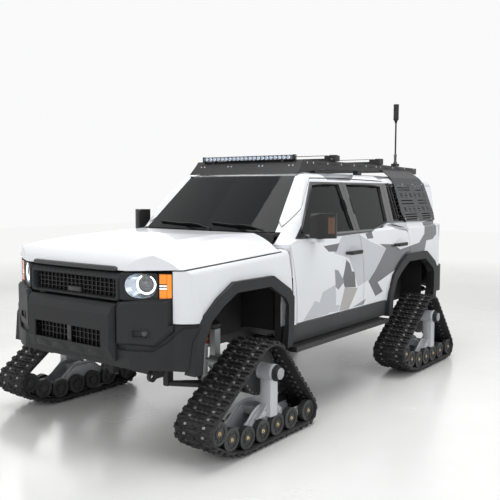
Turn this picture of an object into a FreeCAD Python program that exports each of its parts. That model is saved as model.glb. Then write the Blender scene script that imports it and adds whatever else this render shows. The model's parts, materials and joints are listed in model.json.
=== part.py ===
import FreeCAD, Part
import math
import os
import re

# A tracked sport utility vehicle: +X forward, +Y to its left, +Z up, millimetres.
# The origin is on the ground, under the middle of the vehicle's length and width.

Vector = FreeCAD.Vector

SIZES = {
    # whole vehicle
    "wheelbase": 2850,
    "front_overhang": 890,
    "rear_overhang": 1185,
    "body_width": 1914,
    "roof_height": 1995,
    "underside_height": 600,
    "belt_height": 1435,
    # body shell
    "door_thickness": 62,
    "roof_thickness": 30,
    "fender_thickness": 12,
    "bonnet_thickness": 20,
    "glass_thickness": 6,
    "glass_depth": 22,
    "panel_gap": 8,
    "flange_depth": 34,
    "flange_reach": 36,
    "belt_inset": 42,
    "shoulder_inset": 66,
    "rail_inset": 243,
    "roof_edge_inset": 315,
    "bonnet_drop": 75,
    "rail_height": 1905,
    "roof_edge_height": 1966,
    # doors, measured back from the front axle and forward from the rear one
    "front_door_start": 600,
    "door_split": 1700,
    "rear_door_end": 450,
    "front_door_rake": 71,
    # wheel arches
    "arch_reach": 500,
    "arch_shift": 35,
    "arch_top": 1100,
    "flare_band": 78,
    "flare_stand_off": 22,
    # track units
    "track_gauge": 2004,
    "belt_width": 330,
    "belt_thickness": 16,
    "lug_height": 28,
    "lug_count": 48,
    "hub_height": 526,
    "sprocket_radius": 186,
    "road_wheel_radius": 80,
    "road_wheel_width": 46,
    "hub_cap_reach": 223,
    "kingpin_offset": 620,
    # frame and drive
    "rail_spread": 900,
    "rail_width": 80,
    "rail_depth": 120,
    "rail_base": 560,
    "axle_tube_radius": 45,
    "tow_eye_radius": 18,
    "tow_eye_width": 24,
    "tow_eye_offset": 640,
    "receiver_bore": 51,
    # cabin
    "floor_height": 700,
    "floor_thickness": 20,
    "seat_width": 520,
    "seat_offset": 380,
    "steering_wheel_radius": 185,
    "steering_rim_radius": 15,
    # roof equipment
    "rack_inset": 337,
    "rack_base": 2004,
    "rack_height": 81,
    "antenna_height": 2761,
    "crossbar_width": 60,
    # rear
    "tailgate_inset": 237,
}

doc = FreeCAD.newDocument("tracked_suv")
sheet = doc.addObject("Spreadsheet::Sheet", "Sizes")
for row, (alias, number) in enumerate(SIZES.items(), 1):
    sheet.set(f"A{row}", alias)
    sheet.set(f"B{row}", str(number))
    sheet.setAlias(f"B{row}", alias)
doc.recompute()


def size(name):
    """The value that the spreadsheet holds under this alias."""
    return float(sheet.get(name))


def bound(text):
    """An expression in which each name from the spreadsheet points at its cell."""
    return re.sub(r"[a-z_]+", lambda word: f"Sizes.{word[0]}" if word[0] in SIZES else word[0], text)


FRONT_AXLE = "((wheelbase + rear_overhang - front_overhang) / 2)"
REAR_AXLE = "((rear_overhang - front_overhang - wheelbase) / 2)"

nose_x = (size("front_overhang") + size("wheelbase") + size("rear_overhang")) / 2
front_axle_x = nose_x - size("front_overhang")
rear_axle_x = front_axle_x - size("wheelbase")
tail_x = -nose_x
half_width = size("body_width") / 2
base_z = size("underside_height")
belt_z = size("belt_height")
roof_z = size("roof_height")
gap = size("panel_gap")

pieces = []


# ---------------------------------------------------------------- helpers


def keep(label, obj):
    """Registers an object as a sub-part; its label names the file."""
    obj.Label = label
    pieces.append(obj)
    return obj


def feature(label, *shapes):
    """A sub-part whose solids are worked out with Part's functions."""
    obj = doc.addObject("Part::Feature", label)
    obj.Shape = shapes[0] if len(shapes) == 1 else Part.makeCompound(list(shapes))
    return keep(label, obj)


def placed(obj, x, y, z, axis=None, angle=0):
    if axis:
        obj.Placement.Rotation = FreeCAD.Rotation(Vector(*axis), angle)
    for letter, text in zip("xyz", (x, y, z)):
        obj.setExpression(f"Placement.Base.{letter}", bound(text))
    return obj


def box(name, length, width, height, x, y, z):
    obj = doc.addObject("Part::Box", name)
    obj.setExpression("Length", bound(length))
    obj.setExpression("Width", bound(width))
    obj.setExpression("Height", bound(height))
    return placed(obj, x, y, z)


def cylinder(name, radius, length, x, y, z, along="z"):
    obj = doc.addObject("Part::Cylinder", name)
    obj.setExpression("Radius", bound(radius))
    obj.setExpression("Height", bound(length))
    turn = {"x": ((0, 1, 0), 90), "y": ((1, 0, 0), -90), "z": ((0, 0, 1), 0)}[along]
    return placed(obj, x, y, z, *turn)


def fused(name, *parts):
    obj = doc.addObject("Part::MultiFuse", name)
    obj.Shapes = list(parts)
    obj.Refine = True
    return obj


def cut(name, base, tool):
    obj = doc.addObject("Part::Cut", name)
    obj.Base = base
    obj.Tool = tool
    return obj


def mirrored_object(name, source):
    obj = doc.addObject("Part::Mirroring", name)
    obj.Source = source
    obj.Normal = Vector(0, 1, 0)
    return obj


def pair(name, source):
    """One node with a left solid and its mirror image."""
    obj = doc.addObject("Part::Compound", name)
    obj.Links = [source, mirrored_object(f"{name}_right", source)]
    return obj


PLANES = {
    "XY": (lambda a, b: Vector(a, b, 0), Vector(0, 0, 1)),
    "XZ": (lambda a, b: Vector(a, 0, b), Vector(0, 1, 0)),
    "YZ": (lambda a, b: Vector(0, a, b), Vector(1, 0, 0)),
}


def outline(plane, *points):
    """A closed wire; a pair of points is an arc's middle and end, a single one ends a line."""
    lift = PLANES[plane][0]
    start = lift(*points[0])
    here = start
    edges = []
    for point in points[1:]:
        if isinstance(point[0], tuple):
            middle, end = (lift(*each) for each in point)
            edges.append(Part.Arc(here, middle, end).toShape())
        else:
            end = lift(*point)
            edges.append(Part.makeLine(here, end))
        here = end
    if here.distanceToPoint(start) > 1e-6:
        edges.append(Part.makeLine(here, start))
    return Part.Wire(edges)


def prism(plane, low, high, *points):
    """The outline's face, carried along the plane's normal from low to high."""
    normal = PLANES[plane][1]
    face = Part.Face(outline(plane, *points))
    face.translate(normal * low)
    return face.extrude(normal * (high - low))


def block(x0, x1, y0, y1, z0, z1):
    return Part.makeBox(x1 - x0, y1 - y0, z1 - z0, Vector(x0, y0, z0))


def flipped(shape):
    return shape.mirror(Vector(0, 0, 0), Vector(0, 1, 0))


def whole(half):
    """A left half and its mirror image, joined on the middle plane."""
    return half.fuse(flipped(half)).removeSplitter()


def tube(start, end, radius):
    line = end - start
    return Part.makeCylinder(radius, line.Length, start, line)


def crown(half, edge, top):
    """Middle point of an arc that is level over the middle plane and meets (half, edge)."""
    rise = top - edge
    radius = (half * half + rise * rise) / (2 * rise)
    return half / 2, top - radius + math.sqrt(radius * radius - half * half / 4)


def at_front(distance):
    return front_axle_x + distance


def inboard(distance):
    """The place across the vehicle that lies this far inside the body's widest point."""
    return half_width - distance


def at_rear(distance):
    return rear_axle_x + distance


# ---------------------------------------------------------------- body surfaces

WIDE = 1500
HIGH = 3000


def screen_wrap(side, end):
    """All that lies behind the windscreen's curve, which is rounded in plan, or below the belt line."""
    curve = Part.Face(
        outline(
            "XY",
            (at_front(-575 - end), 0),
            ((at_front(-591 - end), inboard(487) - side / 2), (at_front(-636 - end), inboard(207) - side / 2)),
            ((at_front(-700 - end), inboard(131) - side), (at_front(-815 - end), inboard(73) - side)),
            (at_front(-1000 - end), inboard(17)),
            (tail_x - 900, inboard(17)),
            (tail_x - 900, 0),
        )
    )
    lean = Vector(-500, 0, 469)
    curve.translate(Vector(0, 0, belt_z + 38) - lean)
    drop = side / 2
    lower = prism(
        "XZ",
        0,
        WIDE,
        (at_front(-530), base_z - 10),
        (at_front(-530), belt_z - 50 - drop),
        (at_front(-640), belt_z - 20 - drop),
        (at_front(-900), belt_z + 15 - drop),
        (tail_x - 60, belt_z + 15 - drop),
        (tail_x - 60, base_z - 10),
    )
    return curve.extrude(lean * 3).fuse(lower)


def cabin_half(side, top, end):
    """The left half of the cabin's outer volume, drawn in by these distances."""
    rail_y = half_width - size("rail_inset") - side
    roof_y = half_width - size("roof_edge_inset") - side
    rail_z = size("rail_height")
    edge_z = size("roof_edge_height") - top
    section = prism(
        "YZ",
        tail_x - 50,
        at_front(-540),
        (0, base_z),
        (half_width - 30 - side, base_z),
        ((half_width - side, base_z + 400), (half_width - size("belt_inset") - side, belt_z)),
        (half_width - size("shoulder_inset") - side, belt_z + 17),
        (rail_y, rail_z),
        ((rail_y - 22, (rail_z + edge_z) / 2 + 4), (roof_y, edge_z)),
        (crown(roof_y, edge_z, roof_z - top), (0, roof_z - top)),
    )
    side_view = prism(
        "XZ",
        0,
        WIDE,
        (at_front(-540), base_z),
        (at_front(-530), belt_z - 10),
        (at_front(-533 - end), belt_z + 38),
        (at_front(-1042 - end), roof_z - 56 - end / 4),
        ((at_front(-1290), roof_z - 18 - top), (at_front(-1560), roof_z + 1 - top)),
        (at_front(-2300), roof_z + 1 - top),
        ((at_rear(-300), roof_z - 12 - top), (at_rear(-690), roof_z - 48 - top)),
        (at_rear(-870 + end), roof_z - 78 - top),
        ((at_rear(-985 + end), roof_z - 330), (at_rear(-1078 + end), belt_z - 20)),
        ((at_rear(-1105 + end), belt_z - 220), (at_rear(-1100 + end), base_z)),
    )
    plan = prism(
        "XY",
        0,
        HIGH,
        (at_front(-540), 0),
        (at_front(-540), half_width + 5 - side),
        (at_rear(-430 + end), half_width + 5 - side),
        ((at_rear(-785 + end), inboard(62) - side), (at_rear(-1084 + end), inboard(397) - side)),
        ((at_rear(-1118 + end), 300), (at_rear(-1125 + end), 0)),
    )
    upper_plan = prism(
        "XY",
        0,
        HIGH,
        (at_front(-540), -1),
        (at_front(-540), half_width + 5 - side),
        (at_rear(-330 + end), half_width + 5 - side),
        ((at_rear(-712 + end), inboard(107) - side), (at_rear(-1030 + end), inboard(337) - side)),
        (at_rear(-1140 + end), inboard(507) - side),
        (at_rear(-1140 + end), -1),
    )
    upper = upper_plan.fuse(block(tail_x - 60, at_front(-500), -1, WIDE, 0, belt_z + 17))
    return section.common(side_view).common(plan).common(upper).common(screen_wrap(side, end))


def nose_half(side, top, end):
    """The left half of the volume under the bonnet and fenders, drawn in by these distances."""
    back = at_front(-540)
    section = Part.Face(
        outline(
            "YZ",
            (0, base_z - 15),
            (half_width - 30 - side, base_z - 15),
            ((half_width + 3 - side, base_z + 400), (half_width - 30 - side, belt_z - 130)),
            ((half_width - 48 - side, belt_z - 97), (half_width - 92 - side, belt_z - 82 - top)),
            ((half_width - 180 - side / 2, belt_z - 18 - top), (half_width - 330, belt_z + 44 - top)),
            (half_width - 437, belt_z + 64 - top),
            (crown(half_width - 437, belt_z + 64 - top, belt_z + 70 - top), (0, belt_z + 70 - top)),
        )
    )
    section.translate(Vector(back, 0, 0))
    body = section.extrude(Vector(1450, 0, -size("bonnet_drop")))
    body = body.common(block(0, nose_x + 100, 0, WIDE, base_z - 30, HIGH))
    side_view = prism(
        "XZ",
        0,
        WIDE,
        (back, base_z - 150),
        (at_front(790 - end), base_z - 150),
        (at_front(838 - end), base_z + 400),
        (at_front(822 - end), belt_z - 190),
        (at_front(814 - end), belt_z - 136),
        ((at_front(782 - end), belt_z - 80 - top), (at_front(700 - end), belt_z - 44 - top)),
        ((at_front(458 - end), belt_z + 10 - top), (at_front(0), belt_z + 42 - top)),
        (back, belt_z + 40 - top),
    )
    plan = prism(
        "XY",
        0,
        HIGH,
        (back, 0),
        (back, half_width + 5 - side),
        (at_front(400 - end), half_width + 5 - side),
        ((at_front(580 - end), half_width - 20 - side), (at_front(666 - end), half_width - 140 - side)),
        ((at_front(785 - end), half_width - 345 - side), (at_front(836 - end), inboard(487))),
        ((at_front(843 - end), 240), (at_front(845 - end), 0)),
    )
    return body.common(side_view).common(plan)


door_t = size("door_thickness")
roof_t = size("roof_thickness")
cabin_outer = cabin_half(0, 0, 0)
cabin_shell = cabin_outer.cut(cabin_half(door_t, roof_t, door_t))
cabin_glass = cabin_half(size("glass_depth"), roof_t / 2, size("glass_depth")).cut(
    cabin_half(
        size("glass_depth") + size("glass_thickness"),
        roof_t / 2 + size("glass_thickness"),
        size("glass_depth") + size("glass_thickness"),
    )
)
screen_glass = cabin_outer.cut(cabin_half(size("glass_thickness"), 8, size("glass_thickness")))

nose_outer = nose_half(0, 0, 0)
nose_skin = nose_outer.cut(nose_half(size("fender_thickness"), 40, size("fender_thickness")))
bonnet_skin = nose_outer.cut(nose_half(size("bonnet_thickness"), size("bonnet_thickness"), 28))
nose_thick = nose_outer.cut(nose_half(70, 60, 110))


# ---------------------------------------------------------------- side outlines, seen from the left


SLANT = 0.34


def side_prism(*points):
    """A side outline carried straight across the vehicle's left side."""
    return prism("XZ", 420, WIDE, *points)


def surface_y(z):
    """About how far the cabin's side stands from the middle plane at this height."""
    if z <= belt_z:
        return half_width - size("belt_inset") * max(0, (z - base_z - 400) / (belt_z - base_z - 400)) ** 2
    share = (z - belt_z) / (size("rail_height") - belt_z)
    return half_width - size("shoulder_inset") - (size("rail_inset") - size("shoulder_inset")) * share


def swing_prism(*points):
    """A side outline whose edge faces lean with the path of a door that swings from its front edge.

    Each point is where the edge shows on the outer surface."""
    shifted = [(x - SLANT * (half_width - surface_y(z)), z) for x, z in points]
    face = Part.Face(outline("XZ", *shifted))
    face.translate(Vector(SLANT * (half_width - 420), 420, 0))
    return face.extrude(Vector(-SLANT * (WIDE - 420), WIDE - 420, 0))


sill_z = base_z + 160
front_cut = at_front(-size("front_door_start"))
split_x = at_front(-size("door_split"))
rear_cut = at_rear(size("rear_door_end"))


door_top_z = size("rail_height") + 20
front_edge_x = front_cut + size("front_door_rake") - 32


def front_door_outline(grow):
    """The front door's edge, moved out all round by this much."""
    return swing_prism(
        (front_edge_x - size("front_door_rake") + grow, sill_z - grow),
        (front_edge_x + grow, belt_z - 39),
        (front_cut - 14 + grow, belt_z - 12),
        (front_cut - 62 + grow, belt_z + 22),
        (front_cut - 580 + grow, door_top_z - 6 + grow),
        (split_x - grow, door_top_z + grow),
        (split_x - grow, belt_z),
        (split_x - 34 - grow, sill_z - grow),
    )


def rear_door_outline(grow):
    """The rear door's edge, which follows the wheel arch at the bottom."""
    return swing_prism(
        (split_x - gap - 34 + grow, sill_z - grow),
        (split_x - gap + grow, belt_z),
        (split_x - gap + grow, door_top_z + grow),
        (rear_cut - 135 - grow, door_top_z - 18 + grow),
        (rear_cut - 30 - grow, belt_z + 40 + grow),
        (rear_cut - 275 - grow / 2, belt_z + 6 + grow),
        (rear_cut - 330 - grow, belt_z - 45),
        (rear_cut - 345 - grow, belt_z - 145),
        (rear_cut - 345 - grow, belt_z - 239 - grow),
        (rear_cut - 243 - grow, belt_z - 243 - grow),
        (rear_cut - 56 - grow, belt_z - 338 - grow),
        (rear_cut + 86 - grow, belt_z - 444 - grow),
        (rear_cut + 172 - grow, belt_z - 613),
        (rear_cut + 190 - grow, sill_z - grow),
    )


def front_window():
    return side_prism(
        (front_cut - 190, belt_z + 45),
        (front_cut - 580, size("rail_height") - 42),
        (split_x + 62, size("rail_height") - 30),
        (split_x + 50, belt_z + 22),
        (front_cut - 180, belt_z + 22),
    )


def rear_window():
    return side_prism(
        (split_x - gap - 62, size("rail_height") - 30),
        (rear_cut - 60, size("rail_height") - 46),
        (rear_cut + 30, belt_z + 85),
        (rear_cut + 140, belt_z + 22),
        (split_x - gap - 50, belt_z + 22),
    )


def quarter_window():
    return side_prism(
        (rear_cut - 200, size("rail_height") - 46),
        (at_rear(-600), size("rail_height") - 60),
        (at_rear(-640), belt_z + 75),
        (rear_cut - 110, belt_z + 75),
    )


ARCH_POINTS = (
    (1.04, 0.0),
    (1.0, 0.42),
    (0.85, 0.69),
    (0.61, 0.85),
    (0.29, 1.0),
    (-0.52, 1.0),
    (-0.91, 0.80),
    (-1.0, 0.69),
    (-1.0, 0.39),
    (-0.96, 0.0),
)


def arch(centre, grow):
    """The angular outline of a wheel arch round an axle, grown outward."""
    half = size("arch_reach") + grow
    foot = base_z - 40
    rise = size("arch_top") - foot + grow
    middle = centre + size("arch_shift")
    points = [(middle + half * across, foot + rise * up) for across, up in ARCH_POINTS]
    return prism("XZ", 0, WIDE, *points)


front_arch = arch(front_axle_x, 0)
rear_arch = arch(rear_axle_x, 0)
front_flare_edge = arch(front_axle_x, size("flare_band"))
rear_flare_edge = arch(rear_axle_x, size("flare_band"))
arches = front_arch.fuse(rear_arch)


# ---------------------------------------------------------------- body panels

SCREEN_CORNERS = (
    (0, belt_z + 42),
    (inboard(233), belt_z + 42),
    (inboard(355), roof_z - 56),
    (0, roof_z - 56),
)
screen_area = prism("YZ", at_front(-1125), at_front(-300), *SCREEN_CORNERS)
screen_opening = prism("YZ", at_front(-1260), at_front(-300), *SCREEN_CORNERS)
tailgate_half = inboard(size("tailgate_inset"))
tailgate_foot = base_z + 395
tail_area = block(tail_x - 100, at_rear(-640), -1, tailgate_half, tailgate_foot, HIGH)
tail_opening = block(tail_x - 100, at_rear(-640 + gap), -1, tailgate_half + gap, tailgate_foot - gap, HIGH)


def roof_region(grow):
    """The roof panel's own volume, from the tailgate's hinge line to the top of the windscreen."""
    edge = inboard(353) + grow
    flat = block(at_rear(-640 + gap - grow), at_front(-1134), -1, edge, roof_z - 90 - grow, HIGH)
    return flat.fuse(block(at_front(-1135), at_front(-1000), -1, edge, roof_z - 48 - grow, HIGH))


roof_area = roof_region(0)
roof_opening = roof_region(gap)
cowl_opening = block(at_front(-760), nose_x, 0, inboard(189), base_z, belt_z + 43)


def biggest(shape):
    return max(shape.Solids, key=lambda solid: solid.Volume)


def make_side_frame():
    """Sill, pillars and quarter panel, with an inner flange that the doors close against."""
    outer = cabin_shell.common(block(tail_x - 100, at_front(-556), 420, WIDE, base_z, HIGH))
    for opening in (front_door_outline(gap), rear_door_outline(gap)):
        outer = outer.cut(opening)
    depth = door_t + gap
    inner_hull = cabin_half(depth + size("flange_depth"), roof_t + 20, depth)
    flange = cabin_half(depth, roof_t, depth).cut(inner_hull)
    flange = flange.common(block(at_rear(60), front_edge_x + 12, 420, WIDE, base_z, HIGH))
    reach = size("flange_reach")
    screen_pillar = block(front_cut - 575, front_cut - 200, 420, WIDE, belt_z + 150, HIGH)
    for opening in (front_door_outline(-reach), rear_door_outline(-reach), screen_pillar):
        flange = flange.cut(opening)
    sill = cabin_half(door_t, roof_t, door_t).cut(cabin_half(depth + size("flange_depth"), roof_t, depth))
    sill = sill.common(block(at_rear(560), front_edge_x + 12, 420, WIDE, base_z, sill_z - gap))
    header = cabin_half(door_t, roof_t, door_t).cut(inner_hull)
    header = header.common(block(at_rear(250), at_front(-1140), 420, WIDE, door_top_z + gap, HIGH))
    pillar_top = belt_z - 130
    pillar = block(front_edge_x + 30, front_edge_x + 90, inboard(118), inboard(60), base_z + 10, pillar_top)
    web = block(front_edge_x - 30, front_edge_x + 40, inboard(134), inboard(101), base_z + 10, pillar_top)
    frame = outer.fuse([flange, sill, header])
    door_sweep = block(at_front(-590), at_front(-545), inboard(177), inboard(87), belt_z - 88, belt_z - 60)
    openings = (quarter_window(), arches, screen_opening, tail_opening, roof_opening, cowl_opening, door_sweep)
    for opening in openings:
        frame = frame.cut(opening)
    return biggest(biggest(frame).fuse([pillar, web]))


def make_body():
    left = make_side_frame()
    lamp_area = block(tail_x - 100, at_rear(-800), tailgate_half + gap, WIDE, base_z + 508, base_z + 748)
    lamp = biggest(left.common(lamp_area))
    left = left.cut(lamp_area)
    bumper_area = block(tail_x - 100, at_rear(-560), 0, WIDE, base_z - 10, tailgate_foot - gap)
    bumper = cabin_half(-10, 0, -28).cut(cabin_half(door_t, roof_t, door_t)).common(bumper_area)
    bumper = bumper.cut(rear_flare_edge).common(block(tail_x - 100, 0, 0, WIDE, base_z + 106, HIGH))
    step = prism(
        "XY",
        base_z + 130,
        base_z + 290,
        (at_rear(-1070), 0),
        (tail_x, 0),
        (tail_x, inboard(487)),
        (tail_x + 50, inboard(367)),
        (at_rear(-1070), inboard(337)),
    )
    bumper = bumper.fuse(step.cut(cabin_half(door_t, roof_t, door_t)))
    left = biggest(left.cut(bumper_area))
    feature("side_frame_left", left)
    feature("side_frame_right", flipped(left))
    feature("tail_lamps", lamp, flipped(lamp))
    feature("rear_bumper", whole(bumper))
    roof = cabin_shell.common(roof_area)
    feature("roof_panel", whole(roof))
    feature("windscreen", whole(screen_glass.common(screen_area)))
    quarter = cabin_glass.common(quarter_window())
    feature("quarter_windows", quarter, flipped(quarter))


MIRROR_FRONT = -765


def make_doors():
    doors = {
        "front_door": (front_door_outline(0), front_window()),
        "rear_door": (rear_door_outline(0), rear_window()),
    }
    for name, (edge, window) in doors.items():
        door = cabin_shell.common(edge).cut(window).cut(screen_opening)
        door = door.cut(cowl_opening)
        door = biggest(door.cut(arch(rear_axle_x, size("flare_band") + gap)))
        if name == "front_door":
            door = door.fuse(mirror_stalk())
        glass = cabin_glass.common(window)
        for side, turn in (("left", lambda shape: shape), ("right", flipped)):
            feature(f"{name}_{side}", turn(door))
            feature(f"{name}_{side}_glass", turn(glass))


def make_tailgate():
    gate = cabin_shell.common(tail_area)
    window = prism(
        "YZ",
        tail_x - 100,
        at_rear(-640),
        (-1, belt_z + 35),
        (tailgate_half - 80, belt_z + 35),
        (tailgate_half - 130, roof_z - 150),
        (-1, roof_z - 150),
    )
    glass = cabin_glass.common(window)
    gate = gate.cut(window)
    feature("tailgate", whole(biggest(gate)))
    feature("tailgate_glass", whole(glass))


def front_split(low, high):
    """Above the slanted line, in front view, that parts the lamps from the bumper; low lifts the line."""
    line = base_z + 460 + low
    inner, outer = inboard(557), half_width + 3
    return prism(
        "YZ", at_front(500), nose_x + 60, (inner, line), (outer, line + 62), (outer, high), (inner, high)
    )


def fender_area(grow):
    """The front fender's side outline, from the door to the lamp at the nose's corner."""
    shut_back = belt_z - 92
    shut_front = belt_z - 150
    return prism(
        "XZ",
        inboard(140) - grow,
        WIDE,
        (at_front(-545), base_z),
        (at_front(-545), shut_back - gap + 4),
        (at_front(-470), shut_back - gap),
        (at_front(758 + grow), shut_front - gap),
        (at_front(778 + grow), base_z + 508),
        (at_front(778 + grow), base_z + 334 - grow),
        (at_front(540), base_z + 334 - grow),
        (at_front(540), base_z - 20),
    )


def make_nose():
    shut_back = belt_z - 92
    shut_front = belt_z - 150
    bonnet_back = at_front(-470)
    bonnet_area = prism(
        "XZ",
        -1,
        WIDE,
        (bonnet_back, shut_back),
        (at_front(758), shut_front),
        (nose_x, shut_front - 14),
        (nose_x, HIGH),
        (bonnet_back, HIGH),
    )
    bonnet = bonnet_skin.common(bonnet_area)
    feature("bonnet", whole(bonnet))

    fender = nose_skin.common(fender_area(0)).cut(front_arch).common(block(0, nose_x, 0, WIDE, base_z, HIGH))
    fender = biggest(fender)
    shoulder = nose_skin.common(
        block(at_front(-545), at_front(-478), inboard(157), WIDE, shut_back - 60, belt_z - 80)
    )
    fender = biggest(fender.fuse(shoulder).removeSplitter())
    feature("front_fender_left", fender)
    feature("front_fender_right", flipped(fender))

    lamp_top = shut_front - gap - 8
    lamp_zone = block(at_front(540), nose_x, inboard(469), WIDE, base_z + 400, lamp_top)
    lamp = nose_thick.common(lamp_zone).common(front_split(8, HIGH))
    lamp = lamp.cut(fender_area(gap))
    lamp = biggest(lamp)
    feature("headlights", lamp, flipped(lamp))

    make_grille(lamp_top)
    make_front_bumper()


def make_grille(top):
    low = base_z + 462
    face_x = at_front(826)
    opening = inboard(511)
    frame = block(face_x - 60, face_x, -1, opening + 36, low, top)
    frame = frame.cut(block(face_x - 100, nose_x, -2, opening, low + 28, top - 42))
    bar_count = 4
    pitch = (top - 42 - low - 28) / bar_count
    bars = []
    for index in range(1, bar_count):
        z = low + 28 + pitch * index
        bars.append(block(face_x - 40, face_x - 22, -1, opening + 1, z - 5, z + 5))
    across = opening / 4.5
    posts = [
        block(face_x - 40, face_x - 22, across * index - 3, across * index + 3, low + 20, top - 30)
        for index in (0.5, 1.5, 2.5, 3.5)
    ]
    half = frame.fuse(bars + posts)
    feature("grille", whole(half))


POD_CORNERS = tuple(
    (inboard(inset), z)
    for inset, z in ((485, 428), (449, 472), (153, 489), (124, 472), (124, 289), (236, 175), (487, 186))
)


def pod_face(across):
    """How far forward the corner pod's face stands at this distance from the middle."""
    return at_front(872 - (across - inboard(497)) * 0.46)


def pod_wire(depth, inset):
    """One outline of a corner pod on its slanted face, at this depth behind it."""
    middle_y = sum(y for y, z in POD_CORNERS) / len(POD_CORNERS)
    middle_z = sum(z for y, z in POD_CORNERS) / len(POD_CORNERS)
    points = []
    for y, z in POD_CORNERS:
        across = y + (middle_y - y) * inset
        up = z + (middle_z - z) * inset
        points.append(Vector(pod_face(across) - depth, across, base_z + up))
    return Part.makePolygon(points + points[:1])


def make_pod():
    """The bevelled block at each end of the front bumper, with a recess for the fog lamp."""
    body = Part.makeLoft([pod_wire(80, 0), pod_wire(16, 0)], True, True)
    bevel = Part.makeLoft([pod_wire(16, 0), pod_wire(0, 0.09)], True, True)
    pod = body.fuse(bevel)
    fog_in = inboard(379)
    fog_out = inboard(261)
    recess = prism(
        "XY",
        base_z + 236,
        base_z + 292,
        (pod_face(fog_in) - 46, fog_in),
        (nose_x + 50, fog_in),
        (nose_x + 50, fog_out),
        (pod_face(fog_out) - 46, fog_out),
    )
    return pod.cut(recess)


def make_front_bumper():
    shell = nose_half(-4, 0, -2).cut(nose_half(60, 40, 70))
    foot = prism(
        "XZ",
        -1,
        WIDE,
        (at_front(546), base_z + 86),
        (at_front(650), base_z + 22),
        (nose_x + 10, base_z + 20),
        (nose_x + 10, base_z + 560),
        (at_front(546), base_z + 560),
    )
    shell = shell.common(foot).cut(front_split(0, HIGH))
    shell = shell.cut(block(0, nose_x + 60, -1, inboard(487), base_z + 454, HIGH))
    lip_top = prism(
        "YZ",
        at_front(500),
        nose_x + 60,
        (-1, base_z + 140),
        (inboard(465), base_z + 146),
        (inboard(237), base_z + 146),
        (inboard(152), base_z + 207),
        (inboard(92), base_z + 276),
        (inboard(57), base_z + 306),
        (WIDE, base_z + 330),
        (WIDE, base_z - 60),
        (-1, base_z - 60),
    )
    lip = nose_half(-18, 0, -18).cut(nose_half(60, 40, 70)).common(foot).common(lip_top)
    centre = prism(
        "XZ",
        -1,
        inboard(457),
        (at_front(770), base_z + 70),
        (at_front(858), base_z + 70),
        (nose_x, base_z + 150),
        (nose_x, base_z + 380),
        (at_front(868), base_z + 432),
        (at_front(838), base_z + 454),
        (at_front(770), base_z + 454),
    )
    bevel = prism(
        "XY",
        0,
        HIGH,
        (at_front(700), -2),
        (nose_x, -2),
        (nose_x, inboard(521)),
        (at_front(848), inboard(499)),
        (at_front(700), inboard(499)),
    )
    bumper = shell.fuse([lip, centre.common(bevel), make_pod()])
    bumper = bumper.cut(block(at_front(700), nose_x + 50, -2, inboard(597), base_z + 148, base_z + 268))
    bumper = bumper.cut(block(at_front(600), at_front(826), -2, inboard(467), base_z + 456, HIGH))
    bumper = bumper.cut(fender_area(gap))
    bumper = bumper.cut(front_flare_edge)
    feature("front_bumper", whole(biggest(bumper)))


def make_flares():
    stand_off = size("flare_stand_off")
    solids = []
    for centre, hull in ((front_axle_x, nose_half), (rear_axle_x, cabin_half)):
        band = arch(centre, size("flare_band")).cut(arch(centre, 0))
        band = band.common(block(tail_x, nose_x, half_width - 120, half_width + stand_off, base_z - 5, HIGH))
        band = band.cut(hull(0, 0, 0)).cut(cabin_outer)
        solid = biggest(band)
        solids += [solid, flipped(solid)]
    feature("wheel_arch_flares", *solids)


# ---------------------------------------------------------------- floor, firewall and wheel wells


def make_floor():
    floor_z = size("floor_height")
    sheet_t = size("floor_thickness")
    inside = half_width - 30 - door_t - gap - size("flange_depth") - 2
    floor = block(at_rear(-1060), at_front(-520), -1, inside, floor_z, floor_z + sheet_t)
    firewall = block(at_front(-540), at_front(-520), -1, half_width - 165, floor_z, belt_z - 80)
    cowl = prism(
        "XZ",
        -1,
        inside - 60,
        (at_front(-520), belt_z - 80),
        (at_front(-500), belt_z - 63),
        (at_front(-522), belt_z - 45),
        (at_front(-556), belt_z + 34),
        (at_front(-648), belt_z + 34),
        (at_front(-648), belt_z + 14),
        (at_front(-572), belt_z + 14),
        (at_front(-540), belt_z - 50),
        (at_front(-540), belt_z - 80),
    )
    well_back = at_rear(size("arch_shift") - size("arch_reach") - 25)
    well_front = at_rear(size("arch_shift") + size("arch_reach") + 45)
    well = block(well_back, well_front, inboard(397), inside, base_z, size("arch_top") + 40)
    hollow = block(well_back + 20, well_front - 20, inboard(377), WIDE, 0, size("arch_top") + 20)
    depth = door_t + gap + size("flange_depth") + 2
    cabin = cabin_half(depth, roof_t, depth)
    half = floor.cut(well).common(cabin).fuse([firewall, cowl, well.cut(hollow)])
    apron_t = 12
    apron_y = size("rail_spread") / 2 + 2
    apron = block(at_front(-520), at_front(640), apron_y, apron_y + apron_t, base_z + 60, belt_z - 160)
    shelf = block(at_front(-470), at_front(500), apron_y, half_width - 165, belt_z - 172, belt_z - 160)
    half = half.fuse([apron, shelf])
    feature("floor_pan", whole(half))


# ---------------------------------------------------------------- chassis


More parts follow.
